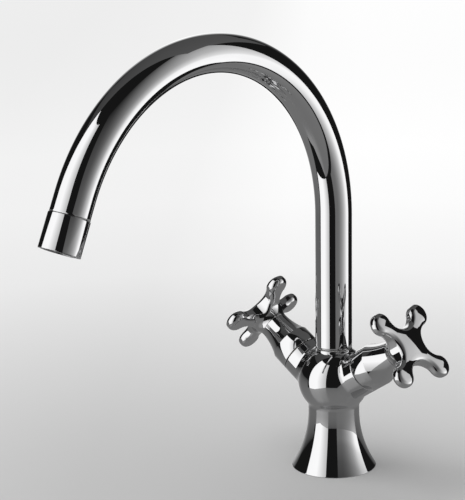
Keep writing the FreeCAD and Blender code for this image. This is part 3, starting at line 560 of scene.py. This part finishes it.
def make_body():
    """The casting's outside, meshed inside a box that reaches just past the two arms."""
    reach, spare = 38.6, 1.1
    low = (-reach, -FOOT_RADIUS - spare, -spare)
    high = (reach, FOOT_RADIUS + spare, COLLAR_HEIGHT + spare)
    points, quads = surface_of(body_form, low, high, BODY_STEP)
    piece = put("mixer_body_plated", points, quads, CHROME,
                point_normals=slope_of(body_form, points))
    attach(piece, "base")
    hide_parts("mixer_body")


# ---------------------------------------------------------------- handles

def skirt_profile():
    """The outside from the lower edge up to the hub seam, then back down through the inside."""
    inward, upward = ARM_RADIUS - HUB_RADIUS, HUB_SEAM - SKIRT_SHOULDER
    chord = math.hypot(inward, upward)
    lean = math.radians(FLARE_ANGLE) - math.atan2(inward, upward)
    flare = chord / 2 / math.sin(lean)
    edge = ARM_EDGE
    inside = ARM_RADIUS - SKIRT_WALL
    outline = [(inside, SKIRT_LOW), (ARM_RADIUS - edge, SKIRT_LOW)]
    outline += arc(outline[-1], (ARM_RADIUS, SKIRT_LOW + edge), edge, 1, 4)
    outline += [(ARM_RADIUS, SKIRT_SHOULDER)]
    outline += arc(outline[-1], (HUB_RADIUS, HUB_SEAM), flare, -1, 40)
    outline += [(HUB_RADIUS - HUB_LAND, HUB_SEAM), (HUB_BORE, HUB_SEAM), (HUB_BORE, SKIRT_SHOULDER),
                (inside, SKIRT_SHOULDER - SKIRT_DROP)]
    return outline


def make_skirt(name, place, grub_turn):
    """The turned skirt with the hole of its grub screw let into the flare."""
    return turned(name, skirt_profile(), place, CHROME,
                  hole=(GRUB_PLACE, math.radians(90 - grub_turn), GRUB_RADIUS, GRUB_FLOOR))


def cross_outline(u, v):
    """Distance from the outline of lobes and hollows in plan, and its outward direction."""
    spare = LOBE_RADIUS - WAIST_HALF
    hollow_at = LOBE_REACH + spare - math.sqrt(2 * LOBE_REACH * spare + 2 * spare ** 2)
    hollow = hollow_at - WAIST_HALF
    from_lobe = np.maximum(np.hypot(u - LOBE_REACH, v), 1e-6)
    from_hollow = np.maximum(np.hypot(u - hollow_at, v - hollow_at), 1e-6)
    on_lobe = (hollow_at - LOBE_REACH) * v < hollow_at * (u - LOBE_REACH)
    away = np.where(on_lobe, from_lobe - LOBE_RADIUS, hollow - from_hollow)
    out_u = np.where(on_lobe, (u - LOBE_REACH) / from_lobe, (hollow_at - u) / from_hollow)
    out_v = np.where(on_lobe, v / from_lobe, (hollow_at - v) / from_hollow)
    return away, out_u, out_v


def waved_front(radial, height):
    """Distance above the front, full at hub and lobes and lower between, and its lean outward."""
    turn = 2 * math.pi / LOBE_REACH
    level = CROSS_PLANE + CROSS_HALF - FRONT_WAVE / 2 * (1 - np.cos(turn * radial))
    slope = FRONT_WAVE / 2 * turn * np.sin(turn * radial)
    size = np.hypot(1.0, slope)
    return (height - level) / size, slope / size


def flared_back(radial, height):
    """Distance below the back, which flares from the hub onto the arms, and its lean outward."""
    sweep = math.radians(ROOT_SWEEP)
    seam, back = HUB_SEAM + SEAM_GAP, CROSS_PLANE - CROSS_HALF
    joint = HUB_RADIUS + ROOT_RADIUS * (1 - math.cos(sweep)), seam + ROOT_RADIUS * math.sin(sweep)
    long_radius = (back - joint[1]) / (1 - math.sin(sweep))
    long_out = joint[0] + long_radius * math.cos(sweep)
    tight = np.maximum(np.hypot(radial - HUB_RADIUS - ROOT_RADIUS, height - seam), 1e-6)
    wide = np.hypot(radial - long_out, height - back + long_radius)
    past = (radial - joint[0]) * math.sin(sweep) + (height - joint[1]) * math.cos(sweep) > 0
    away = np.where(past, long_radius - wide, ROOT_RADIUS - tight)
    lean = np.where(past, (long_out - radial) / wide, (HUB_RADIUS + ROOT_RADIUS - radial) / tight)
    flat = radial > long_out
    return np.where(flat, back - height, away), np.where(flat, 0.0, lean)


def cross_form(p):
    """Lobes on waisted arms over a flared hub, with one rounding all along the rim."""
    u, v = np.abs(p[:, 0]), np.abs(p[:, 1])
    u, v = np.maximum(u, v), np.minimum(u, v)
    radial = np.maximum(np.hypot(u, v), 1e-6)
    plan, out_u, out_v = cross_outline(u, v)
    outward = (out_u * u + out_v * v) / radial
    toward_rim = np.clip(1 + plan / WAIST_HALF, 0, 1)
    front, front_lean = waved_front(radial, p[:, 2])
    front = front + CROSS_CROWN * toward_rim ** 2
    front_lean = front_lean * outward + 2 * CROSS_CROWN / WAIST_HALF * toward_rim
    back, back_lean = flared_back(radial, p[:, 2])
    face = np.maximum(front, back)
    steepest = 0.95
    meet = np.clip(np.where(front > back, front_lean, back_lean * outward), -steepest, steepest)
    over, above = plan + CROSS_ROUNDING, face + CROSS_ROUNDING
    corner = np.sqrt(np.maximum(over ** 2 + above ** 2 - 2 * meet * over * above, 0)
                     / (1 - meet ** 2)) - CROSS_ROUNDING
    rounded = (over > meet * above) & (above > meet * over)
    solid = np.where(rounded, corner, np.maximum(plan, face))
    return rounded_cut(solid, HUB_SEAM + SEAM_GAP - p[:, 2], SEAM_EDGE)


def lobe_repeater():
    """Geometry nodes: one quarter of the cross, repeated about the handle's axis and sewn."""
    tree = bpy.data.node_groups.new("cross_from_one_lobe", "GeometryNodeTree")
    face = tree.interface
    face.new_socket("Quarter", in_out="INPUT", socket_type="NodeSocketGeometry")
    count = face.new_socket("Lobes", in_out="INPUT", socket_type="NodeSocketInt")
    sew = face.new_socket("Sewing Distance", in_out="INPUT", socket_type="NodeSocketFloat")
    finish = face.new_socket("Finish", in_out="INPUT", socket_type="NodeSocketMaterial")
    face.new_socket("Cross", in_out="OUTPUT", socket_type="NodeSocketGeometry")
    count.default_value = LOBES
    nodes, links = tree.nodes, tree.links
    given = nodes.new("NodeGroupInput")
    result = nodes.new("NodeGroupOutput")
    seats = nodes.new("GeometryNodePoints")
    turn = nodes.new("ShaderNodeMath")
    turn.operation = "DIVIDE"
    turn.inputs[0].default_value = 2 * math.pi
    number = nodes.new("GeometryNodeInputIndex")
    angle = nodes.new("ShaderNodeMath")
    angle.operation = "MULTIPLY"
    spin = nodes.new("ShaderNodeCombineXYZ")
    copies = nodes.new("GeometryNodeInstanceOnPoints")
    real = nodes.new("GeometryNodeRealizeInstances")
    sewn = nodes.new("GeometryNodeMergeByDistance")
    paint = nodes.new("GeometryNodeSetMaterial")
    links.new(given.outputs["Lobes"], seats.inputs["Count"])
    links.new(given.outputs["Lobes"], turn.inputs[1])
    links.new(turn.outputs[0], angle.inputs[0])
    links.new(number.outputs[0], angle.inputs[1])
    links.new(angle.outputs[0], spin.inputs["Z"])
    links.new(seats.outputs[0], copies.inputs["Points"])
    links.new(given.outputs["Quarter"], copies.inputs["Instance"])
    links.new(spin.outputs[0], copies.inputs["Rotation"])
    links.new(copies.outputs[0], real.inputs[0])
    links.new(real.outputs[0], sewn.inputs["Geometry"])
    links.new(given.outputs["Sewing Distance"], sewn.inputs["Distance"])
    links.new(sewn.outputs[0], paint.inputs["Geometry"])
    links.new(given.outputs["Finish"], paint.inputs["Material"])
    links.new(paint.outputs[0], result.inputs[0])
    return tree, {"count": count.identifier, "sew": sew.identifier, "finish": finish.identifier}


def grown(name, start_mesh, tree, values):
    """Runs a geometry node tree on a mesh and returns the result as a plain mesh."""
    holder = bpy.data.objects.new(name, start_mesh)
    bpy.context.scene.collection.objects.link(holder)
    modifier = holder.modifiers.new("made_by_rule", "NODES")
    modifier.node_group = tree
    for identifier, value in values.items():
        modifier[identifier] = value
    bpy.context.view_layer.update()
    seen = holder.evaluated_get(bpy.context.evaluated_depsgraph_get())
    mesh = bpy.data.meshes.new_from_object(seen)
    bpy.data.objects.remove(holder)
    return mesh


def quarter_of_cross():
    """The part of the cross round one arm, between two planes through the handle's axis."""
    spare = 1.0
    reach = LOBE_REACH + LOBE_RADIUS + spare
    across = math.ceil(reach / CROSS_STEP) * CROSS_STEP
    low = (-across, -across, HUB_SEAM - spare)
    high = (across, across, CROSS_PLANE + CROSS_HALF + spare)
    points, quads = surface_of(cross_form, low, high, CROSS_STEP)
    mesh = bpy.data.meshes.new("cross_quarter")
    mesh.from_pydata([tuple(p) for p in points * MM], [], [tuple(int(i) for i in q) for q in quads])
    shape = bmesh.new()
    shape.from_mesh(mesh)
    for way in (-1, 1):
        bmesh.ops.bisect_plane(shape, geom=shape.verts[:] + shape.edges[:] + shape.faces[:],
                               plane_co=(0, 0, 0), plane_no=(-1, way, 0), dist=1e-7,
                               clear_outer=True)
    shape.to_mesh(mesh)
    shape.free()
    return mesh


def make_cross(name, body, side, turn, mesh):
    """The cross set on its arm and turned, with exact normals from its form."""
    points = np.array([v.co for v in mesh.vertices]) / MM
    faces = [tuple(f.vertices) for f in mesh.polygons]
    normals = slope_of(cross_form, points)
    place = arm_frame(side) @ Matrix.Rotation(math.radians(turn), 4, "Z")
    axes, origin = np.array(place.to_3x3()), np.array(place.translation)
    piece = put(name + "_cross_plated", points @ axes.T + origin, faces, CHROME,
                point_normals=normals @ axes.T)
    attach(piece, body)
    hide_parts(name + "_cross_handle")


def make_handles():
    tree, sockets = lobe_repeater()
    mesh = grown("cross", quarter_of_cross(), tree,
                 {sockets["count"]: LOBES, sockets["sew"]: 0.00001, sockets["finish"]: CHROME})
    # name, side, turn of the cross and turn of the grub screw's hole, in degrees
    for name, side, turn, grub_turn in (("hot", -1, -2.5, 56.5), ("cold", 1, 42.2, -78.5)):
        body = name + "_handle"
        skirt = make_skirt(name + "_skirt_plated", arm_frame(side), grub_turn)
        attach(skirt, body)
        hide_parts(name + "_handle_skirt")
        make_cross(name, body, side, turn, mesh)


# ---------------------------------------------------------------- spout

def spout_rule():
    """Geometry nodes: a round tube swept up, round the bend and down its straight tail."""
    tree = bpy.data.node_groups.new("swan_neck_spout", "GeometryNodeTree")
    face = tree.interface
    names = ("Start Height", "Rise", "Bend Radius", "Bend Sweep", "Tail", "Tube Radius")
    sockets = {}
    for name in names:
        sockets[name] = face.new_socket(name, in_out="INPUT", socket_type="NodeSocketFloat")
    for name in ("Path Points", "Round Points"):
        sockets[name] = face.new_socket(name, in_out="INPUT", socket_type="NodeSocketInt")
    sockets["Finish"] = face.new_socket("Finish", in_out="INPUT", socket_type="NodeSocketMaterial")
    face.new_socket("Spout", in_out="OUTPUT", socket_type="NodeSocketGeometry")
    nodes, links = tree.nodes, tree.links
    given = nodes.new("NodeGroupInput").outputs

    def math_node(operation, *values):
        node = nodes.new("ShaderNodeMath")
        node.operation = operation
        for slot, value in enumerate(values):
            if isinstance(value, (int, float)):
                node.inputs[slot].default_value = value
            else:
                links.new(value, node.inputs[slot])
        return node.outputs[0]

    straight = math_node("SUBTRACT", given["Rise"], given["Start Height"])
    bent = math_node("MULTIPLY", given["Bend Radius"], given["Bend Sweep"])
    whole = math_node("ADD", math_node("ADD", straight, bent), given["Tail"])
    line = nodes.new("GeometryNodeCurvePrimitiveLine")
    dense = nodes.new("GeometryNodeResampleCurve")
    links.new(line.outputs[0], dense.inputs["Curve"])
    links.new(given["Path Points"], dense.inputs["Count"])
    share = nodes.new("GeometryNodeSplineParameter").outputs["Factor"]
    run = math_node("MULTIPLY", share, whole)
    climbed = math_node("MINIMUM", run, straight)
    past = math_node("DIVIDE", math_node("SUBTRACT", run, straight), given["Bend Radius"])
    angle = math_node("MINIMUM", math_node("MAXIMUM", past, 0.0), given["Bend Sweep"])
    tail = math_node("MAXIMUM", math_node("SUBTRACT", math_node("SUBTRACT", run, straight), bent),
                     0.0)
    sine, cosine = math_node("SINE", angle), math_node("COSINE", angle)
    out = math_node("MULTIPLY", given["Bend Radius"], math_node("SUBTRACT", cosine, 1.0))
    out = math_node("SUBTRACT", out, math_node("MULTIPLY", sine, tail))
    up = math_node("ADD", math_node("ADD", given["Start Height"], climbed),
                   math_node("MULTIPLY", given["Bend Radius"], sine))
    up = math_node("ADD", up, math_node("MULTIPLY", cosine, tail))
    place = nodes.new("ShaderNodeCombineXYZ")
    links.new(out, place.inputs["Y"])
    links.new(up, place.inputs["Z"])
    bend = nodes.new("GeometryNodeSetPosition")
    links.new(dense.outputs[0], bend.inputs["Geometry"])
    links.new(place.outputs[0], bend.inputs["Position"])
    ring = nodes.new("GeometryNodeCurvePrimitiveCircle")
    links.new(given["Round Points"], ring.inputs["Resolution"])
    links.new(given["Tube Radius"], ring.inputs["Radius"])
    sweep = nodes.new("GeometryNodeCurveToMesh")
    links.new(bend.outputs[0], sweep.inputs["Curve"])
    links.new(ring.outputs[0], sweep.inputs["Profile Curve"])
    real = nodes.new("GeometryNodeRealizeInstances")
    paint = nodes.new("GeometryNodeSetMaterial")
    result = nodes.new("NodeGroupOutput")
    links.new(sweep.outputs[0], real.inputs[0])
    links.new(real.outputs[0], paint.inputs["Geometry"])
    links.new(given["Finish"], paint.inputs["Material"])
    links.new(paint.outputs[0], result.inputs[0])
    return tree, {name: socket.identifier for name, socket in sockets.items()}


def make_spout():
    tree, sockets = spout_rule()
    sizes = {
        "Start Height": TUBE_LOW * MM, "Rise": SPOUT_RISE * MM, "Bend Radius": BEND_RADIUS * MM,
        "Bend Sweep": math.radians(BEND_SWEEP), "Tail": TAIL_LENGTH * MM,
        "Tube Radius": TUBE_DIA / 2 * MM, "Path Points": 320, "Round Points": 96,
        "Finish": CHROME,
    }
    empty = bpy.data.meshes.new("no_points")
    mesh = grown("spout", empty, tree, {sockets[k]: v for k, v in sizes.items()})
    mesh.name = "spout_tube_plated"
    shape = bmesh.new()
    shape.from_mesh(mesh)
    bmesh.ops.remove_doubles(shape, verts=shape.verts, dist=1e-7)
    bmesh.ops.recalc_face_normals(shape, faces=shape.faces)
    shape.to_mesh(mesh)
    shape.free()
    mesh.shade_smooth()
    piece = bpy.data.objects.new("spout_tube_plated", mesh)
    bpy.context.scene.collection.objects.link(piece)
    wall = piece.modifiers.new("wall", "SOLIDIFY")
    wall.thickness = TUBE_WALL * MM
    wall.offset = -1
    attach(piece, "spout")
    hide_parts("spout_tube")


def outlet_frame():
    """Z along the water's way out from the sleeve's top, Y in the plane of the spout."""
    sweep = math.radians(BEND_SWEEP)
    z = Vector((0.0, -math.sin(sweep), math.cos(sweep)))
    x = Vector((1.0, 0.0, 0.0))
    y = z.cross(x)
    place = Matrix((x, y, z)).transposed().to_4x4()
    out = BEND_RADIUS * (math.cos(sweep) - 1) + z.y * TAIL_LENGTH
    up = SPOUT_RISE + BEND_RADIUS * math.sin(sweep) + z.z * TAIL_LENGTH
    place.translation = Vector((0.0, out, up))
    return place


def make_sleeve():
    outside, inside = SLEEVE_DIA / 2, SLEEVE_DIA / 2 - SLEEVE_WALL
    edge = SLEEVE_EDGE
    outline = [(inside, 0.0), (inside, SLEEVE_LENGTH)]
    outline += [(outside - edge, SLEEVE_LENGTH)]
    outline += arc(outline[-1], (outside, SLEEVE_LENGTH - edge), edge, -1, 4)
    outline += [(outside, edge)]
    outline += arc(outline[-1], (outside - edge, 0.0), edge, -1, 4)
    piece = turned("outlet_sleeve_plated", outline[::-1], outlet_frame(), CHROME)
    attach(piece, "spout")
    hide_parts("outlet_sleeve")


# ---------------------------------------------------------------- the CAD pieces that stay

def finish_small_pieces():
    """Gives each piece that stays as the CAD made it the finish of its material, by its name."""
    finishes = (
        ("seal", RUBBER), ("gasket", RUBBER), ("o_ring", RUBBER), ("glide", PLASTIC),
        ("grid", PLASTIC), ("fixed_disc", CERAMIC), ("moving_disc", CERAMIC),
        ("screw", STEEL), ("circlip", STEEL), ("aerator_mesh", STEEL),
        ("aerator_housing", CHROME), ("bonnet", BRASS), ("spindle", BRASS),
        ("adaptor", BRASS), ("shank", BRASS),
    )
    for name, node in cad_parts.items():
        for word, finish in finishes:
            if word in name:
                node.data.materials.clear()
                node.data.materials.append(finish)
                break


# ---------------------------------------------------------------- studio

def camera_axes():
    """The camera's directions to the right, upward and ahead."""
    heading = math.radians(CAMERA_HEADING)
    pitch = math.radians(CAMERA_PITCH)
    roll = math.radians(CAMERA_ROLL)
    ahead = Vector((-math.sin(heading), math.cos(heading), 0.0))
    right = Vector((math.cos(heading), math.sin(heading), 0.0))
    up = Vector((0.0, 0.0, 1.0))
    look = ahead * math.cos(pitch) - up * math.sin(pitch)
    top = up * math.cos(pitch) + ahead * math.sin(pitch)
    across = right * math.cos(roll) + top * math.sin(roll)
    upward = -right * math.sin(roll) + top * math.cos(roll)
    return across, upward, look


def place_camera():
    across, upward, look = camera_axes()
    lens = bpy.data.cameras.new("photo_camera")
    lens.sensor_width = SENSOR
    lens.lens = FOCAL_PIXELS / IMAGE_HEIGHT * SENSOR
    lens.clip_end = 50.0
    camera = bpy.data.objects.new("photo_camera", lens)
    turn = Matrix((across, upward, -look)).transposed().to_4x4()
    turn.translation = Vector(CAMERA_PLACE) * MM
    camera.matrix_world = turn
    bpy.context.scene.collection.objects.link(camera)
    bpy.context.scene.camera = camera


FRONT = math.degrees(math.atan2(CAMERA_PLACE[1], CAMERA_PLACE[0]))


def glow_material(name, along, upright):
    """A light panel: brightness along its length by one ramp, times another up its height."""
    look = Shader(name)
    nodes = look.tree.nodes
    nodes.remove(look.surface)
    place = look.add("ShaderNodeUVMap", uv_map="panel")
    split = look.add("ShaderNodeSeparateXYZ")
    look.join(place.outputs["UV"], split.inputs[0])
    first = look.shades(split.outputs["X"], *[(t, (v, v, v)) for t, v in along])
    second = look.shades(split.outputs["Y"], *[(t, (v, v, v)) for t, v in upright])
    both = look.add("ShaderNodeVectorMath", operation="MULTIPLY")
    look.join(first, both.inputs[0])
    look.join(second, both.inputs[1])
    glow = look.add("ShaderNodeEmission")
    glow.inputs["Strength"].default_value = PANEL_STRENGTH
    look.join(both.outputs[0], glow.inputs["Color"])
    look.join(glow.outputs[0], look.output.inputs["Surface"])
    return look.material


def panel(name, start, end, low, high, distance, along, upright):
    """A curved studio panel that stands round the mixer, seen only as a reflection. Its ends are
    angles from the camera's direction, to the right; along and upright are (share, level)."""
    steps = max(4, int(abs(end - start) / 2))
    points, faces, shares = [], [], []
    for k in range(steps + 1):
        t = math.radians(FRONT + start + (end - start) * k / steps)
        for z in (low, high):
            points.append((distance * math.cos(t), distance * math.sin(t), z))
    for k in range(steps):
        faces.append((2 * k, 2 * k + 1, 2 * k + 3, 2 * k + 2))
        a, b = k / steps, (k + 1) / steps
        shares += [(a, 0.0), (a, 1.0), (b, 1.0), (b, 0.0)]
    piece = put(name, points, faces, glow_material(name + "_glow", along, upright))
    layer = piece.data.uv_layers.new(name="panel")
    layer.data.foreach_set("uv", np.array(shares, np.float32).ravel())
    only_reflected(piece)


def only_reflected(piece):
    """Marks a stage piece that the camera never sees, only the chrome does."""
    piece.visible_camera = False
    piece.visible_diffuse = False
    piece.visible_shadow = False


def table_material():
    """The pale table as the chrome sees it: a painted glow standing in for the lit table, mixed
    with a satin sheen of the panels at a low angle.
    """
    look = Shader("table_painted_glow")
    nodes = look.tree.nodes
    nodes.remove(look.surface)
    # painted light: the table's lit brightness given as a glow
    glow = look.add("ShaderNodeEmission")
    glow.inputs["Strength"].default_value = TABLE_PAINTED_GLOW
    gloss = look.add("ShaderNodeBsdfGlossy")
    gloss.inputs["Roughness"].default_value = 0.22
    sheen = look.add("ShaderNodeFresnel")
    sheen.inputs["IOR"].default_value = 2.1
    both = look.add("ShaderNodeMixShader")
    look.join(sheen.outputs[0], both.inputs[0])
    look.join(glow.outputs[0], both.inputs[1])
    look.join(gloss.outputs[0], both.inputs[2])
    look.join(both.outputs[0], look.output.inputs["Surface"])
    return look.material


def make_table():
    """The table top round the mixer, a painted glow seen only by the chrome, cut to the outline
    that the chrome reflects.
    """
    # angle from the camera's side round to the right, in degrees, and the table's reach in mm
    edge = ((-180, 300), (-146, 300), (-138, 1600), (-95, 1600), (-88, 175), (-60, 175), (-40, 230),
            (-25, 290), (25, 290), (60, 320), (100, 300), (180, 300))
    angles, reaches = zip(*edge)
    points = []
    for degree in range(-180, 180, 2):
        t = math.radians(FRONT + degree)
        reach = np.interp(degree, angles, reaches)
        points.append((reach * math.cos(t), reach * math.sin(t), 0.0))
    piece = put("table_painted_glow", points, [tuple(range(len(points)))], table_material())
    only_reflected(piece)


def floor_material():
    """A pale floor whose glow, seen by the camera only, is painted light: greyer under the mixer,
    whiter further out, and a little dimmer to one side, a painted shade in both its glow and its
    paint colour.
    """
    look = Shader("pale_floor_painted_light")
    place = look.add("ShaderNodeTexCoord")
    turn = look.add("ShaderNodeMapping")
    turn.inputs["Rotation"].default_value = (0.0, 0.0, -math.radians(FRONT + 180.0))
    turn.inputs["Location"].default_value = (0.1, 0.0, 0.0)
    look.join(place.outputs["Object"], turn.inputs["Vector"])
    out = look.add("ShaderNodeVectorMath", operation="LENGTH")
    look.join(turn.outputs[0], out.inputs[0])
    split = look.add("ShaderNodeSeparateXYZ")
    look.join(turn.outputs[0], split.inputs[0])
    # distances in metres: how far the ring gradient of painted light reaches, and between which
    # lines the painted side shade dims the floor
    ring_reach, painted_shade_line, bright_side = 3.1, 0.5, -0.1
    # painted light: the glow runs from grey under the mixer to white far out
    painted_light_rings = [(t, (v, v, v)) for t, v in ((0.01, 0.055), (0.08, 0.19), (0.212, 0.49),
                                         (0.314, 0.59), (0.42, 0.64), (1.0, 0.7))]
    glow = look.shades(look.spread(out.outputs["Value"], 0.0, 1.0, 0.0, ring_reach), *painted_light_rings)
    # painted shade: the floor's glow and paint colour dim towards one side
    painted_shade_share = look.spread(split.outputs["Y"], 0.0, 1.0, painted_shade_line, bright_side)
    side = look.shades(painted_shade_share, *[(t, (v, v, v)) for t, v in ((0.0, 0.86), (0.55, 0.9),
                                                            (0.75, 0.985), (0.92, 1.0))])
    painted_floor_light = look.add("ShaderNodeVectorMath", operation="MULTIPLY")
    look.join(glow, painted_floor_light.inputs[0])
    look.join(side, painted_floor_light.inputs[1])
    look.join(painted_floor_light.outputs[0], look.surface.inputs["Emission Color"])
    path = look.add("ShaderNodeLightPath")
    look.join(path.outputs["Is Camera Ray"], look.surface.inputs["Emission Strength"])
    paint = look.add("ShaderNodeVectorMath", operation="SCALE")
    paint.inputs["Scale"].default_value = FLOOR_PAINT
    # the paint colour carries the same painted side shade
    look.join(side, paint.inputs[0])
    look.join(paint.outputs[0], look.surface.inputs["Base Color"])
    look.surface.inputs["Roughness"].default_value = 1.0
    look.surface.inputs["Specular IOR Level"].default_value = 0.0
    return look.material


def make_floor():
    """The floor that the camera sees and that catches the mixer's shadow."""
    corners = [(x * FLOOR_HALF, y * FLOOR_HALF, 0) for x, y in ((-1, -1), (1, -1), (1, 1), (-1, 1))]
    piece = put("floor", corners, [(0, 1, 2, 3)], floor_material())
    piece.visible_glossy = False


def make_world():
    """Even air that lights the scene, dark where the chrome reflects it."""
    world = bpy.data.worlds.new("studio_air")
    bpy.context.scene.world = world
    world.use_nodes = True
    tree = world.node_tree
    fill = tree.nodes["Background"]
    path = tree.nodes.new("ShaderNodeLightPath")
    last = fill.outputs[0]
    fill.inputs["Color"].default_value = (AIR, AIR, AIR, 1.0)
    for seen_by, level in (("Is Glossy Ray", REFLECTED_AIR), ("Is Camera Ray", SEEN_AIR)):
        air = tree.nodes.new("ShaderNodeBackground")
        air.inputs["Color"].default_value = (level, level, level, 1.0)
        choice = tree.nodes.new("ShaderNodeMixShader")
        tree.links.new(path.outputs[seen_by], choice.inputs[0])
        tree.links.new(last, choice.inputs[1])
        tree.links.new(air.outputs[0], choice.inputs[2])
        last = choice.outputs[0]
    tree.links.new(last, tree.nodes["World Output"].inputs["Surface"])


def soft_lamp(name, place, width, height, power):
    """A wide lamp aimed at the mixer; place and size in metres."""
    light = bpy.data.lights.new(name, "AREA")
    light.shape = "RECTANGLE"
    light.size, light.size_y = width, height
    light.energy = power
    lamp = bpy.data.objects.new(name, light)
    lamp.location = place
    toward = Vector((0.0, 0.0, 0.1)) - Vector(place)
    lamp.rotation_euler = toward.to_track_quat("-Z", "Y").to_euler()
    lamp.visible_glossy = False
    bpy.context.scene.collection.objects.link(lamp)


def make_ceiling():
    """The dim ceiling over the mixer's far side, brighter to the right, seen only reflected."""
    turn = math.radians(FRONT + 180.0)
    corners = ((0.0, CEILING_HALF), (0.0, -CEILING_HALF), (CEILING_DEPTH, -CEILING_HALF),
               (CEILING_DEPTH, CEILING_HALF))
    points = [(a * math.cos(turn) - b * math.sin(turn), a * math.sin(turn) + b * math.cos(turn),
               CEILING_HEIGHT) for a, b in corners]
    piece = put("dim_ceiling", points, [(0, 1, 2, 3)],
                glow_material("dim_ceiling_glow", [(0.0, 0.042), (0.5, 0.066), (1.0, 0.08)],
                              [(0.0, 1.0), (0.6, 0.95), (1.0, 0.7)]))
    layer = piece.data.uv_layers.new(name="panel")
    layer.data.foreach_set("uv", np.array([0, 0, 1, 0, 1, 1, 0, 1], np.float32))
    only_reflected(piece)


def light_studio():
    bpy.context.scene.view_settings.view_transform = "Standard"
    make_world()
    make_floor()
    make_table()
    make_ceiling()
    panel("left_softbox", -85, -25, -300, 1220, SIDE_DISTANCE,
          [(0.0, 0.95), (0.5, 0.97), (0.72, 0.76), (0.88, 0.6), (1.0, 0.52)],
          [(0.0, 1.0), (0.9, 1.0), (1.0, 0.9)])
    panel("right_diffuser", 12, 105, -700, 2400, RIGHT_DISTANCE,
          [(0.0, 0.13), (0.19, 0.14), (0.3, 0.18), (0.4, 0.24), (0.5, 0.33), (0.61, 0.45),
           (0.71, 0.63), (0.82, 0.9), (0.92, 0.97)],
          [(0.0, 1.0), (0.26, 1.0), (0.31, 0.78), (0.46, 0.5), (0.72, 0.3), (1.0, 0.1)])
    panel("bright_backdrop", 154, 226, -150, 900, BACK_DISTANCE,
          [(0.0, 0.01), (0.14, 0.05), (0.28, 0.19), (0.42, 0.75), (0.55, 0.93), (0.7, 0.52),
           (0.83, 0.21), (0.97, 0.05)],
          [(0.0, 1.0), (0.55, 1.0), (0.71, 0.8), (0.86, 0.4), (1.0, 0.06)])
    soft_lamp("overhead_lamp", (-0.6, -0.5, 1.6), 1.2, 1.2, 14.0)


# ---------------------------------------------------------------- the whole scene

place_camera()
light_studio()
make_body()
make_handles()
make_spout()
make_sleeve()
finish_small_pieces()
